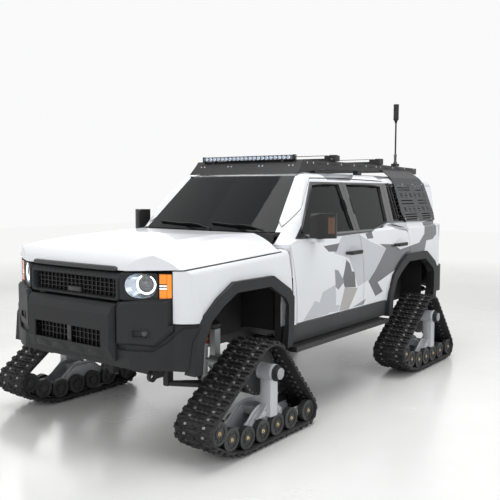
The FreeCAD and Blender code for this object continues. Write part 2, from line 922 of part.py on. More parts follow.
def make_chassis():
    rail_y = "rail_spread / 2 - rail_width"
    middle = box(
        "rail_middle", "wheelbase - 900", "rail_width", "rail_depth", f"{REAR_AXLE} + 450", rail_y, "rail_base"
    )
    front = box("rail_front", "1220", "rail_width", "rail_depth", f"{FRONT_AXLE} - 500", rail_y, "rail_base + 30")
    rear = box("rail_rear", "1500", "rail_width", "rail_depth", f"{REAR_AXLE} - 960", rail_y, "rail_base + 20")
    left = fused("rail_left", middle, front, rear)
    right = mirrored_object("rail_right", left)
    members = []
    for index, place in enumerate(
        (
            f"{FRONT_AXLE} + 600",
            f"{FRONT_AXLE} - 420",
            f"{FRONT_AXLE} - 1380",
            f"{REAR_AXLE} + 480",
            f"{REAR_AXLE} - 380",
            f"{REAR_AXLE} - 900",
        )
    ):
        members.append(
            box(f"cross_member_{index}", "70", "rail_spread", "70", place, "-rail_spread / 2", "rail_base + 45")
        )
    front_bracket = box(
        "tow_bracket", "90", "230", "30", f"{FRONT_AXLE} + 590", "rail_spread / 2 - 10", "rail_base + 2"
    )
    eye_blank = cylinder(
        "tow_eye_blank", "tow_eye_radius + 20", "tow_eye_width", f"{FRONT_AXLE} + 700", "tow_eye_offset", "rail_base + 2", "y"
    )
    eye_plate = box(
        "tow_eye_plate", "100", "tow_eye_width", "44", f"{FRONT_AXLE} + 600", "tow_eye_offset", "rail_base - 20"
    )
    eye_hole = cylinder(
        "tow_eye_hole",
        "tow_eye_radius",
        "tow_eye_width + 20",
        f"{FRONT_AXLE} + 700",
        "tow_eye_offset - 10",
        "rail_base + 2",
        "y",
    )
    eye = cut("tow_eye", fused("tow_eye_solid", eye_blank, eye_plate, front_bracket), eye_hole)
    eyes = [eye, mirrored_object("tow_eye_right", eye)]
    tube_body = box("receiver_body", "200", "receiver_bore + 13", "receiver_bore + 13", f"{REAR_AXLE} - 1090",
                    "-(receiver_bore + 13) / 2", "rail_base + 48")
    tube_hole = box("receiver_hole", "180", "receiver_bore", "receiver_bore", f"{REAR_AXLE} - 1100",
                    "-receiver_bore / 2", "rail_base + 54.5")
    receiver = cut("receiver", tube_body, tube_hole)
    keep("chassis_frame", fused("frame_whole", left, right, *members, *eyes, receiver))

    keep("engine", box("engine_block", "620", "440", "520", f"{FRONT_AXLE} - 400", "-220", "rail_base + 130"))
    gearbox = box("gearbox_case", "560", "300", "190", f"{FRONT_AXLE} - 985", "-150", "rail_base - 60")
    transfer = box("transfer_case", "300", "350", "180", f"{FRONT_AXLE} - 1270", "-150", "rail_base - 60")
    rear_shaft = cylinder(
        "rear_shaft", "32", "wheelbase - 1270 - 130", f"{REAR_AXLE} + 130", "0", "hub_height + 10", "x"
    )
    front_shaft = cylinder("front_shaft", "26", "1000", f"{FRONT_AXLE} - 985", "120", "hub_height", "x")
    front_diff = cylinder("front_differential", "95", "260", FRONT_AXLE, "-20", "hub_height", "y")
    half_shafts = cylinder(
        "front_half_shafts", "18", "2 * kingpin_offset - 90", FRONT_AXLE, "45 - kingpin_offset", "hub_height", "y"
    )
    keep("gearbox", fused("drive_train", gearbox, transfer, rear_shaft, front_shaft, front_diff, half_shafts))
    keep("fuel_tank", box("tank", "820", "280", "190", f"{FRONT_AXLE} - 2200", "-360", "rail_base - 60"))
    muffler = box("muffler", "560", "220", "150", f"{FRONT_AXLE} - 2150", "150", "rail_base - 50")
    down_pipe = cylinder("down_pipe", "28", "900", f"{FRONT_AXLE} - 1610", "250", "rail_base - 4", "x")
    keep("exhaust", fused("exhaust_line", muffler, down_pipe))


# ---------------------------------------------------------------- track units


def running_circles():
    """Centres (forward of the axle, height) and radii of the circles that the belt runs round."""
    wheel = size("road_wheel_radius")
    rest = wheel + size("belt_thickness") + size("lug_height")
    wheels = [(-490, rest), (-257, rest), (-77, rest), (102, rest), (280, rest), (454, rest + 36), (585, rest + 112)]
    return [(0, size("hub_height"), size("sprocket_radius"))] + [(x, z, wheel) for x, z in wheels]


def belt_loop(offset):
    """The closed path, as points and unit normals, at this distance outside the running circles."""
    circles = running_circles()
    path = []
    count = len(circles)
    tangents = []
    for index in range(count):
        ax, az, ar = circles[index]
        bx, bz, br = circles[(index + 1) % count]
        run = math.hypot(bx - ax, bz - az)
        heading = math.atan2(bz - az, bx - ax)
        lean = math.acos((ar - br) / run)
        normal = heading - lean
        tangents.append(normal)
    for index in range(count):
        cx, cz, radius = circles[index]
        start = tangents[index - 1]
        end = tangents[index]
        turn = (end - start) % (2 * math.pi)
        if turn > math.pi * 1.5:
            turn = 0
        steps = max(1, round(turn / math.radians(9)))
        for step in range(steps + 1):
            angle = start + turn * step / steps
            path.append(
                (
                    cx + (radius + offset) * math.cos(angle),
                    cz + (radius + offset) * math.sin(angle),
                    math.cos(angle),
                    math.sin(angle),
                )
            )
    return path


def spaced(path, count):
    """Points and normals at equal distances along a closed path."""
    lengths = [0]
    closed = path + path[:1]
    for here, there in zip(closed, closed[1:]):
        lengths.append(lengths[-1] + math.hypot(there[0] - here[0], there[1] - here[1]))
    total = lengths[-1]
    found = []
    index = 0
    for number in range(count):
        target = total * number / count
        while lengths[index + 1] < target:
            index += 1
        span = lengths[index + 1] - lengths[index]
        share = (target - lengths[index]) / span if span else 0
        here, there = closed[index], closed[index + 1]
        found.append(tuple(a + (b - a) * share for a, b in zip(here, there)))
    return found, total


def make_belt():
    """The belt of one unit about its own axle: a loop whose outer edge carries the lugs."""
    thickness = size("belt_thickness")
    inner_path = belt_loop(0)
    outer_path = belt_loop(thickness)
    count = int(size("lug_count"))
    stations, total = spaced(outer_path, count * 4)
    lug = size("lug_height")
    outer = []
    for number, (x, z, nx, nz) in enumerate(stations):
        raised = lug if number % 4 in (1, 2) else 0
        outer.append(Vector(x + nx * raised, 0, z + nz * raised))
    inner = [Vector(x, 0, z) for x, z, nx, nz in inner_path]
    cleaned = [inner[0]]
    for point in inner[1:]:
        if point.distanceToPoint(cleaned[-1]) > 1:
            cleaned.append(point)
    if cleaned[0].distanceToPoint(cleaned[-1]) < 1:
        cleaned.pop()
    outer_face = Part.Face(Part.makePolygon(outer + outer[:1]))
    inner_face = Part.Face(Part.makePolygon(cleaned + cleaned[:1]))
    width = size("belt_width")
    loop = outer_face.extrude(Vector(0, width, 0)).cut(inner_face.extrude(Vector(0, width, 0)))
    loop.translate(Vector(0, (size("track_gauge") - width) / 2, 0))
    ground = loop.BoundBox.ZMin
    loop = loop.cut(block(-WIDE, WIDE, 0, WIDE, -100, 0)) if ground < 0 else loop
    return loop


def ring(radius, hole, y0, y1, x, z):
    outer = Part.makeCylinder(radius, y1 - y0, Vector(x, y0, z), Vector(0, 1, 0))
    if hole:
        outer = outer.cut(Part.makeCylinder(hole, y1 - y0, Vector(x, y0, z), Vector(0, 1, 0)))
    return outer


def track_layers():
    """Distances from the middle plane of the layers inside one belt, from the inside out."""
    middle = size("track_gauge") / 2
    wheel = size("road_wheel_width")
    edge = size("belt_width") / 2 - 22
    return {
        "middle": middle,
        "inner_wheel": (middle - edge, middle - edge + wheel),
        "inner_beam": (middle - edge + wheel, middle - edge + wheel + 34),
        "outer_beam": (middle + edge - wheel - 34, middle + edge - wheel),
        "outer_wheel": (middle + edge - wheel, middle + edge),
        "edge": middle + edge,
    }


def make_track_wheels():
    """The road wheels, each a dished disc against the face of its beam."""
    layers = track_layers()
    wheels = []
    for x, z, radius in running_circles()[1:]:
        for name, dish in (("inner_wheel", 1), ("outer_wheel", -1)):
            y0, y1 = layers[name]
            wheel = ring(radius - 1, 0, y0 + (4 if dish < 0 else 0), y1 - (4 if dish > 0 else 0), x, z)
            boss_y = (y1 - 6, y1) if dish > 0 else (y0, y0 + 6)
            boss = ring(radius * 0.35, 0, boss_y[0], boss_y[1], x, z)
            face_y = (y0, y0 + 14) if dish > 0 else (y1 - 14, y1)
            recess = ring(radius * 0.74, radius * 0.36, face_y[0], face_y[1], x, z)
            wheels.append(wheel.fuse(boss).cut(recess))
    return wheels


def make_sprocket():
    """The drive wheel inside the belt: two spoked discs on a drum, with triangular windows."""
    layers = track_layers()
    hub_z = size("hub_height")
    radius = size("sprocket_radius") - 2
    y0 = layers["inner_wheel"][0] + 6
    y1 = layers["outer_beam"][0] - 30
    discs = ring(radius, 0, y0, y0 + 22, 0, hub_z).fuse(ring(radius, 0, y1 - 22, y1, 0, hub_z))
    window_count = 10
    for index in range(window_count):
        middle = 2 * math.pi * index / window_count
        half = math.pi / window_count * 0.72
        corners = [
            (radius * 0.86 * math.cos(middle - half), hub_z + radius * 0.86 * math.sin(middle - half)),
            (radius * 0.86 * math.cos(middle + half), hub_z + radius * 0.86 * math.sin(middle + half)),
            (radius * 0.56 * math.cos(middle), hub_z + radius * 0.56 * math.sin(middle)),
        ]
        discs = discs.cut(prism("XZ", y0 - 1, y1 + 1, *corners))
    drum = ring(radius * 0.5, 0, y0, y1, 0, hub_z)
    bars = []
    bar_count = 12
    for index in range(bar_count):
        angle = 2 * math.pi * index / bar_count
        x = (radius - 12) * math.cos(angle)
        z = hub_z + (radius - 12) * math.sin(angle)
        bars.append(ring(11, 0, y0, y1, x, z))
    return discs.fuse([drum] + bars)


def make_track_frame():
    """Bearing housing, post, and the two arched plates that carry the wheels."""
    layers = track_layers()
    hub_z = size("hub_height")
    radius = size("road_wheel_radius")
    circles = running_circles()[1:]
    low_z = circles[1][1]
    shoulder_z = low_z + radius + 8
    first, last = circles[0], circles[-1]
    arched = prism(
        "XZ",
        0,
        34,
        (first[0] - 26, low_z - 26),
        (first[0] - 26, low_z + 14),
        (-340, low_z + 14),
        ((-262, low_z + 26), (-196, low_z + 64)),
        ((-152, low_z + 104), (-84, low_z + 148)),
        (84, low_z + 148),
        ((152, low_z + 104), (196, low_z + 64)),
        ((262, low_z + 32), (340, low_z + 30)),
        (last[0] - 120, low_z + 44),
        (last[0] + 6, last[1] + 30),
        (last[0] + 30, last[1] - 16),
        (circles[-2][0] + 30, circles[-2][1] - 30),
        (circles[-3][0] + 20, low_z - 26),
    )
    inner_plate = arched.copy()
    inner_plate.translate(Vector(0, layers["inner_beam"][0], 0))
    outer_plate = arched.copy()
    outer_plate.translate(Vector(0, layers["outer_beam"][0], 0))
    tie_y0, tie_y1 = layers["inner_beam"][1], layers["outer_beam"][0]
    ties = [block(x - 24, x + 24, tie_y0, tie_y1, low_z - 14, low_z + 10) for x in (-370, -170, 10, 190)]
    cross = block(-66, 66, tie_y0, tie_y1, low_z + 84, low_z + 142)
    post_y1 = layers["edge"] + 20
    post = block(-44, 44, layers["outer_beam"][1] - 20, post_y1, shoulder_z, hub_z)
    flare = prism(
        "XZ",
        layers["outer_beam"][1] - 20,
        layers["outer_beam"][1] + 26,
        (-150, shoulder_z),
        (-44, shoulder_z + 84),
        (44, shoulder_z + 84),
        (150, shoulder_z),
    )
    housing = ring(58, 0, layers["outer_beam"][0] - 22, layers["edge"] + 38, 0, hub_z)
    cap = ring(41, 0, layers["edge"] + 38, layers["middle"] + size("hub_cap_reach"), 0, hub_z)
    return outer_plate.fuse([inner_plate, *ties, cross, post, flare, housing, cap]).removeSplitter()


def make_tracks():
    """Four alike units; the rear pair stays with the body and each front one steers."""
    parts = {
        "track_belt": [make_belt()],
        "track_frame": [make_track_frame()],
        "track_wheels": make_track_wheels(),
        "track_sprocket": [make_sprocket()],
    }
    for name, solids in parts.items():
        front = [solid.translated(Vector(front_axle_x, 0, 0)) for solid in solids]
        rear = [solid.translated(Vector(rear_axle_x, 0, 0)) for solid in solids]
        feature(f"front_left_{name}", *front)
        feature(f"front_right_{name}", *[flipped(solid) for solid in front])
        label = "rear_track_wheels" if name == "track_wheels" else f"rear_{name}s"
        feature(label, *rear, *[flipped(solid) for solid in rear])


# ---------------------------------------------------------------- axles, knuckles and suspension


def make_suspension():
    hub_z = size("hub_height")
    layers = track_layers()
    flange_y = layers["inner_wheel"][0] + 6
    pin_y = size("kingpin_offset")
    carrier = ring(62, 0, pin_y - 20, flange_y - 14, front_axle_x, hub_z)
    flange = ring(88, 0, flange_y - 16, flange_y, front_axle_x, hub_z)
    upright = block(front_axle_x - 32, front_axle_x + 32, pin_y - 26, pin_y + 26, hub_z - 150, hub_z + 250)
    knuckle = carrier.fuse([flange, upright])
    feature("front_left_knuckle", knuckle)
    feature("front_right_knuckle", flipped(knuckle))

    frame_y = size("rail_spread") / 2
    lower_z = hub_z - 168
    lower = prism(
        "XY",
        lower_z - 30,
        lower_z,
        (front_axle_x - 210, 300),
        (front_axle_x - 24, pin_y + 30),
        (front_axle_x + 24, pin_y + 30),
        (front_axle_x + 210, 300),
        (front_axle_x + 150, 300),
        (front_axle_x, pin_y - 150),
        (front_axle_x - 150, 300),
    )
    ball = Part.makeCylinder(20, 17.5, Vector(front_axle_x, pin_y, lower_z), Vector(0, 0, 1))
    mounts = [
        block(front_axle_x + x - 30, front_axle_x + x + 30, 280, 330, lower_z - 30, size("rail_base") + 30)
        for x in (-180, 180)
    ]
    bridge = block(
        front_axle_x - 210,
        front_axle_x + 210,
        280,
        frame_y - size("rail_width"),
        size("rail_base") - 5,
        size("rail_base") + 30,
    )
    lower = lower.fuse([ball] + mounts + [bridge])
    upper_z = hub_z + 262
    upper_y = frame_y + 14
    upper = prism(
        "XY",
        upper_z,
        upper_z + 26,
        (front_axle_x - 170, upper_y),
        (front_axle_x - 40, pin_y + 26),
        (front_axle_x + 40, pin_y + 26),
        (front_axle_x + 170, upper_y),
        (front_axle_x + 120, upper_y),
        (front_axle_x + 20, pin_y - 30),
        (front_axle_x - 20, pin_y - 30),
        (front_axle_x - 120, upper_y),
    ).fuse(Part.makeCylinder(20, 11.5, Vector(front_axle_x, pin_y, upper_z - 11.5), Vector(0, 0, 1)))
    feature("front_suspension_arms", lower, flipped(lower), upper, flipped(upper))

    strut_x = front_axle_x
    strut_y = pin_y - 100
    fork_z = hub_z + 60
    coil_low = hub_z + 130
    coil_high = belt_z - 230
    damper = tube(Vector(strut_x, strut_y, fork_z), Vector(strut_x, strut_y, belt_z - 172), 24)
    coil = tube(Vector(strut_x, strut_y, coil_low), Vector(strut_x, strut_y, coil_high), 48)
    fork = block(strut_x - 38, strut_x + 38, strut_y - 16, strut_y + 16, lower_z, fork_z + 12)
    fork = fork.cut(block(strut_x - 28, strut_x + 28, strut_y - 20, strut_y + 20, lower_z, fork_z))
    damper = damper.fuse([coil, fork])
    feature("front_dampers", damper, flipped(damper))

    tube_r = size("axle_tube_radius")
    axle = ring(tube_r, 0, -1, flange_y - 16, rear_axle_x, hub_z).fuse(
        [
            ring(88, 0, flange_y - 16, flange_y, rear_axle_x, hub_z),
            ring(130, 0, -1, 90, rear_axle_x, hub_z),
            ring(90, 0, 80, 150, rear_axle_x, hub_z),
        ]
    )
    feature("rear_axle", whole(axle))


# ---------------------------------------------------------------- cabin


def make_seats():
    floor_top = size("floor_height") + size("floor_thickness")
    width = size("seat_width")
    y0 = size("seat_offset") - width / 2
    base_x = at_front(-1480)
    cushion_z = floor_top + 190
    plinth = block(base_x - 420, base_x + 20, y0 + 70, y0 + width - 70, floor_top, cushion_z)
    cushion = block(base_x - 460, base_x + 60, y0, y0 + width, cushion_z, cushion_z + 130)
    back = prism(
        "XZ",
        y0 + 10,
        y0 + width - 10,
        (base_x - 340, cushion_z + 60),
        (base_x - 500, cushion_z + 700),
        (base_x - 610, cushion_z + 690),
        (base_x - 480, cushion_z + 20),
        (base_x - 340, cushion_z + 20),
    )
    head = block(base_x - 600, base_x - 510, y0 + 130, y0 + width - 130, cushion_z + 700, cushion_z + 890)
    posts = block(base_x - 560, base_x - 545, y0 + 180, y0 + width - 180, cushion_z + 650, cushion_z + 720)
    seat = plinth.fuse([cushion, back, head, posts]).removeSplitter()
    feature("front_seats", seat, flipped(seat))

    bench_x = at_front(-2360)
    bench_half = 545
    bench_z = floor_top + 200
    bench = block(bench_x - 420, bench_x + 60, -bench_half, bench_half, floor_top, bench_z + 120)
    rest = prism(
        "XZ",
        -bench_half,
        bench_half,
        (bench_x - 330, bench_z + 100),
        (bench_x - 450, bench_z + 620),
        (bench_x - 540, bench_z + 610),
        (bench_x - 440, bench_z + 20),
        (bench_x - 330, bench_z + 20),
    )
    heads = [
        block(bench_x - 535, bench_x - 455, y - 110, y + 110, bench_z + 600, bench_z + 760) for y in (-400, 0, 400)
    ]
    feature("rear_bench", bench.fuse([rest] + heads).removeSplitter())


def make_dashboard():
    inside = half_width - 30 - door_t - gap - size("flange_depth") - 2
    dash = prism(
        "XZ",
        -inside + 64,
        inside - 64,
        (at_front(-545), belt_z - 340),
        (at_front(-545), belt_z - 90),
        (at_front(-700), belt_z - 45),
        (at_front(-960), belt_z - 70),
        ((at_front(-1010), belt_z - 110), (at_front(-1000), belt_z - 180)),
        (at_front(-930), belt_z - 300),
        (at_front(-820), belt_z - 420),
        (at_front(-560), belt_z - 420),
    )
    console = block(
        at_front(-1720), at_front(-900), -110, 110, size("floor_height") + size("floor_thickness"), belt_z - 400
    )
    feature("dashboard", dash.fuse(console).removeSplitter())

    rim_r = size("steering_wheel_radius")
    centre = Vector(at_front(-1130), size("seat_offset"), belt_z - 110)
    lean = Vector(-math.cos(math.radians(25)), 0, math.sin(math.radians(25)))
    rim = Part.makeTorus(rim_r, size("steering_rim_radius"), centre, lean)
    hub = Part.makeCylinder(62, 44, centre - lean * 40, lean)
    spoke_plane = []
    across = Vector(0, 1, 0)
    down = lean.cross(across)
    for direction in (across, across * -1, down if down.z < 0 else down * -1):
        spoke_plane.append(tube(centre - lean * 14 + direction * 30, centre - lean * 4 + direction * (rim_r - 4), 13))
    column = Part.makeCylinder(24, 72, centre - lean * 108, lean)
    feature("steering_wheel", rim.fuse([hub, column] + spoke_plane))


# ---------------------------------------------------------------- mirrors, boards and roof


def mirror_stalk():
    """The stalk that is part of each front door."""
    x = at_front(MIRROR_FRONT)
    return block(x - 160, x - 100, inboard(60), inboard(-54), belt_z - 40, belt_z - 12)


def make_side_fittings():
    mirror_x = at_front(MIRROR_FRONT)
    plan = prism(
        "XY",
        belt_z - 4,
        belt_z + 196,
        (mirror_x, inboard(-12)),
        ((mirror_x - 30, inboard(-93)), (mirror_x - 100, inboard(-155))),
        ((mirror_x - 132, inboard(-169)), (mirror_x - 172, inboard(-165))),
        (mirror_x - 150, inboard(-12)),
    )
    front = prism(
        "XZ",
        inboard(57),
        inboard(-243),
        (mirror_x - 200, belt_z - 4),
        (mirror_x - 40, belt_z - 4),
        ((mirror_x - 4, belt_z + 8), (mirror_x, belt_z + 40)),
        (mirror_x, belt_z + 150),
        ((mirror_x - 14, belt_z + 186), (mirror_x - 60, belt_z + 196)),
        (mirror_x - 200, belt_z + 196),
    )
    pin = Part.makeCylinder(12, 14, Vector(mirror_x - 132, inboard(-34), belt_z - 12), Vector(0, 0, 1))
    head = plan.common(front).fuse(pin)
    for side, turn in (("left", lambda shape: shape), ("right", flipped)):
        feature(f"door_mirror_{side}", turn(head))

    board = box(
        "board_plate",
        "wheelbase - 530 - 700",
        "210",
        "40",
        f"{REAR_AXLE} + 700",
        "body_width / 2 - 157",
        "underside_height - 50",
    )
    stays = [
        box(
            f"board_stay_{index}",
            "60",
            "(body_width - rail_spread) / 2 - 105",
            "24",
            place,
            "rail_spread / 2",
            "underside_height - 38",
        )
        for index, place in enumerate((f"{FRONT_AXLE} - 780", f"{FRONT_AXLE} - 1300", f"{REAR_AXLE} + 900"))
    ]
    keep("running_boards", pair("boards", fused("board_left", board, *stays)))


def make_roof_fittings():
    base = size("rack_base")
    top = base + size("rack_height")
    half = inboard(size("rack_inset"))
    front_x = at_front(-1231)
    back_x = at_rear(-740)
    side = prism(
        "XZ",
        half - 8,
        half,
        (at_front(-1104), base - 43),
        (front_x, top),
        (at_front(-2700), top + 2),
        (back_x, top - 15),
        (back_x, base + 1),
        (at_front(-2700), base + 10),
        (at_front(-1500), base + 4),
        (at_front(-1290), base - 18),
    )
    fairing = prism(
        "XZ",
        0,
        half - 8,
        (at_front(-1124), base - 42),
        (at_front(-1116), base - 42),
        (at_front(-1222), top + 4),
        (at_front(-1230), top + 4),
    )
    bars = []
    bar_count = 7
    for index in range(bar_count):
        x = front_x - 200 - (front_x - 200 - back_x - 60) * index / (bar_count - 1)
        reach = size("crossbar_width") / 2
        bars.append(block(x - reach, x + reach, 0, half - 8, base + 24, base + 46))
    feet = [
        block(at_front(x - 40), at_front(x + 40), half - 60, half - 7, base - 70, base + 46)
        for x in (-1450, -2250, -3100)
    ]
    feet = [foot.cut(cabin_outer) for foot in feet]
    feature("roof_rack", whole(side.fuse([fairing] + bars + feet)))

    rack_half = "(body_width / 2 - rack_inset)"
    rack_top = "(rack_base + rack_height)"
    keep(
        "light_bar",
        box(
            "lamp_bar",
            "44",
            f"2 * {rack_half} - 202",
            "43",
            f"{FRONT_AXLE} - 1240",
            f"101 - {rack_half}",
            f"{rack_top} + 4",
        ),
    )
    carriers = []
    for number, back in enumerate(("1750", "2650")):
        rod = box(
            f"ski_rod_{number}",
            "44",
            f"2 * {rack_half} - 60",
            "26",
            f"{FRONT_AXLE} - {back} - 22",
            f"30 - {rack_half}",
            f"{rack_top} + 6",
        )
        ends = [
            box(
                f"ski_end_{number}_{side}",
                "80",
                "120",
                "52",
                f"{FRONT_AXLE} - {back} - 40",
                across,
                f"{rack_top} + 4",
            )
            for side, across in (("left", f"{rack_half} - 90"), ("right", f"-{rack_half} - 30"))
        ]
        carriers.append(fused(f"ski_bar_{number}", rod, *ends))
    carrier = doc.addObject("Part::Compound", "ski_bars")
    carrier.Links = carriers
    keep("ski_carrier", carrier)

    place = (f"{REAR_AXLE} - 336", f"{rack_half} - 70")
    mast = cylinder("mast", "9", f"antenna_height - {rack_top}", *place, rack_top)
    tip = cylinder("mast_tip", "29", "165", *place, "antenna_height - 165")
    foot = box("mast_foot", "80", "60", "30", f"{REAR_AXLE} - 376", f"{rack_half} - 100", rack_top)
    keep("antenna", fused("antenna_whole", mast, tip, foot))


def panel_slot(across, up, length, height=9, angle=0):
    """A slot's tool; its centre is given as shares of the plate's depth and of its rise."""
    front = 126 - 50 * up
    back = -660 - 50 * up
    x = at_rear(front + (back - front) * across)
    z = belt_z + 62 + (size("rail_height") - belt_z - 62) * up
    tool = block(-length / 2, length / 2, 420, WIDE, -height / 2, height / 2)
    tool.rotate(Vector(0, 0, 0), Vector(0, 1, 0), angle)
    tool.translate(Vector(x, 0, z))
    return tool


def panel_cut_outs():
    """Five rows: long slots, crosses, long slots, crosses and dashes, long slots."""
    tools = []
    for up in (0.925, 0.865, 0.805, 0.535, 0.455, 0.18, 0.12, 0.06):
        tools += [panel_slot(0.27, up, 290), panel_slot(0.76, up, 220)]
    for up, crosses, dashes in (
        (0.67, (0.14, 0.43, 0.72), (0.285, 0.575, 0.865)),
        (0.315, (0.14, 0.72), (0.285, 0.43, 0.575, 0.865)),
    ):
        for across in crosses:
            tools += [panel_slot(across, up, 74, 10, angle) for angle in (38, -38)]
        for across in dashes:
            tools.append(panel_slot(across, up, 56))
            tools.append(panel_slot(across, up + 0.055, 22))
            tools.append(panel_slot(across, up - 0.055, 22))
    return tools


def make_side_panels():
    """The slotted plate outside each rear quarter window."""
    edge = side_prism(
        (at_rear(84), belt_z + 68),
        (at_rear(124), belt_z + 150),
        (at_rear(72), size("rail_height") - 4),
        (at_rear(-700), size("rail_height") - 2),
        (at_rear(-696), belt_z + 138),
        (at_rear(-662), belt_z + 64),
        (at_rear(-617), belt_z + 56),
    )
    plate = cabin_half(-14, 0, -14).cut(cabin_half(-8, 0, -8)).common(edge)
    rail_y = half_width - size("rail_inset")
    rail_z = size("rail_height")
    rack_y = inboard(size("rack_inset"))
    bend = prism(
        "YZ",
        at_rear(-710),
        at_rear(160),
        (rail_y + 13, rail_z - 6),
        (rail_y - 6, rail_z + 48),
        (rack_y + 8, rail_z + 128),
        (rack_y + 1, rail_z + 125),
        (rail_y - 13, rail_z + 44),
        (rail_y + 7, rail_z - 8),
    )
    upper_edge = side_prism(
        (at_rear(70), rail_z - 12),
        (at_rear(154), rail_z + 131),
        (at_rear(-545), rail_z + 131),
        (at_rear(-698), rail_z - 12),
    )
    plate = biggest(plate.fuse(bend.common(upper_edge)))
    plate = plate.cut(Part.makeCompound(panel_cut_outs()))
    feature("side_panels", plate, flipped(plate))


# ---------------------------------------------------------------- build, check and write

make_body()
make_doors()
make_tailgate()
make_nose()
make_flares()
make_floor()
make_chassis()
make_tracks()
make_suspension()
make_seats()
make_dashboard()
make_side_fittings()
make_roof_fittings()
make_side_panels()
doc.recompute()

for obj in doc.Objects:
    bad = {"Invalid", "Error"} & set(obj.State)
    if bad:
        raise RuntimeError(f"{obj.Name} is {bad}")
for piece in pieces:
    shape = piece.Shape
    if shape.isNull() or not shape.isValid() or not shape.Solids:
        raise RuntimeError(f"{piece.Label} has no valid solid")

os.makedirs("parts", exist_ok=True)
for piece in pieces:
    piece.Shape.exportStep(f"parts/{piece.Label}.step")
    bounds = piece.Shape.BoundBox
    print(
        f"{piece.Label}: {len(piece.Shape.Solids)} solids, {piece.Shape.Volume / 1e6:.2f} l, "
        f"X {bounds.XMin:.0f} {bounds.XMax:.0f} Y {bounds.YMin:.0f} {bounds.YMax:.0f} "
        f"Z {bounds.ZMin:.0f} {bounds.ZMax:.0f}"
    )
print(f"{len(pieces)} sub-parts")
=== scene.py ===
import json
import math
import bpy
import numpy as np
from mathutils import Euler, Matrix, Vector
from mathutils.bvhtree import BVHTree

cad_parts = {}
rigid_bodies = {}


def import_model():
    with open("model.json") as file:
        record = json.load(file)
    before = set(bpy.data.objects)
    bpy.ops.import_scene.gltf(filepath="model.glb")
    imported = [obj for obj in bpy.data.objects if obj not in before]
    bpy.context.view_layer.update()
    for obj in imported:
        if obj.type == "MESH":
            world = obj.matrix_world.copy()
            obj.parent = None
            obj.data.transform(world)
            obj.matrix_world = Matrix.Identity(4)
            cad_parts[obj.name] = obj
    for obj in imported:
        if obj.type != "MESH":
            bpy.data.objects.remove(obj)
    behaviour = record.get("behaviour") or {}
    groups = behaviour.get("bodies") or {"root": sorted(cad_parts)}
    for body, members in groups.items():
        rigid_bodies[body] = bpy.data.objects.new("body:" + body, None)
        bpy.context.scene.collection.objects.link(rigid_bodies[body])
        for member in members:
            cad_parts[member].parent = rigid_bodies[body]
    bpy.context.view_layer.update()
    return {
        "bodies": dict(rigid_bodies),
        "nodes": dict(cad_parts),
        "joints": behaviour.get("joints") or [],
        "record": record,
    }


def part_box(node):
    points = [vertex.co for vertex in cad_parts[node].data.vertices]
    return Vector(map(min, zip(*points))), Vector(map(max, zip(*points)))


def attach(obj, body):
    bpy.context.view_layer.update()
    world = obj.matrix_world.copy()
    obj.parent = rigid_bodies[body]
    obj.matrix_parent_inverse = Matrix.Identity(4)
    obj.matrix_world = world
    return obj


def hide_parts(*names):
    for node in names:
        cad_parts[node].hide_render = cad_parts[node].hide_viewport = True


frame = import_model()
nodes = frame["nodes"]
print("frame loaded", len(nodes), "nodes")

scene = bpy.context.scene
sides = {"left": 1.0, "right": -1.0}
frontAxle = 1.5725
rearAxle = -1.2775


# one node tree, wired up by short calls
class Shader:
    def __init__(self, tree):
        self.tree = tree

    def node(self, kind, settings=None, **inputs):
        made = self.tree.nodes.new("ShaderNode" + kind)
        for key, value in (settings or {}).items():
            setattr(made, key, value)
        for key, value in inputs.items():
            self.feed(made.inputs[key.replace("_", " ")], value)
        return made

    def feed(self, socket, value):
        if isinstance(value, bpy.types.NodeSocket):
            self.tree.links.new(value, socket)
        else:
            socket.default_value = value

    def math(self, operation, a, b=0.0, c=0.0, clamp=False):
        made = self.tree.nodes.new("ShaderNodeMath")
        made.operation = operation
        made.use_clamp = clamp
        for socket, value in zip(made.inputs, (a, b, c)):
            self.feed(socket, value)
        return made.outputs[0]

    def mix(self, factor, a, b):
        made = self.tree.nodes.new("ShaderNodeMix")
        made.data_type = "RGBA"
        for socket, value in ((made.inputs[0], factor), (made.inputs[6], a), (made.inputs[7], b)):
            if isinstance(value, tuple) and len(value) == 3:
                value = (*value, 1.0)
            self.feed(socket, value)
        return made.outputs[2]

    def ramp(self, value, low, high, outLow=0.0, outHigh=1.0):
        made = self.node("MapRange", Value=value)
        for name, number in (("From Min", low), ("From Max", high), ("To Min", outLow),
                             ("To Max", outHigh)):
            made.inputs[name].default_value = number
        return made.outputs[0]

    def place(self):
        return self.node("TexCoord").outputs["Object"]

    def noise(self, scale, detail=3.0, roughness=0.55, vector=None):
        made = self.node("TexNoise", Scale=scale, Detail=detail, Roughness=roughness)
        self.feed(made.inputs["Vector"], vector or self.place())
        return made.outputs["Fac"]


def makeGroup(name, inputs, outputs, build):
    group = bpy.data.node_groups.new(name, "ShaderNodeTree")
    for label, kind, value in inputs:
        socket = group.interface.new_socket(label, in_out="INPUT", socket_type=kind)
        socket.default_value = value
    for label, kind in outputs:
        group.interface.new_socket(label, in_out="OUTPUT", socket_type=kind)
    shader = Shader(group)
    entry = group.nodes.new("NodeGroupInput")
    leave = group.nodes.new("NodeGroupOutput")
    for label, socket in build(shader, entry.outputs).items():
        group.links.new(socket, leave.inputs[label])
    return group


def buildGrain(sh, given):
    # height = fine cells plus a finer noise at the given scale; mottle = slow change over the surface
    place = sh.place()
    cells = sh.node("TexVoronoi", Vector=place, Scale=given["Scale"])
    fine = sh.node("TexNoise", Vector=place, Scale=given["Scale"], Detail=2.0)
    slow = sh.node("TexNoise", Vector=place, Scale=3.0, Detail=4.0)
    height = sh.math("ADD", cells.outputs["Distance"], sh.math("MULTIPLY", fine.outputs["Fac"], 0.6))
    return {"Height": height, "Mottle": slow.outputs["Fac"]}


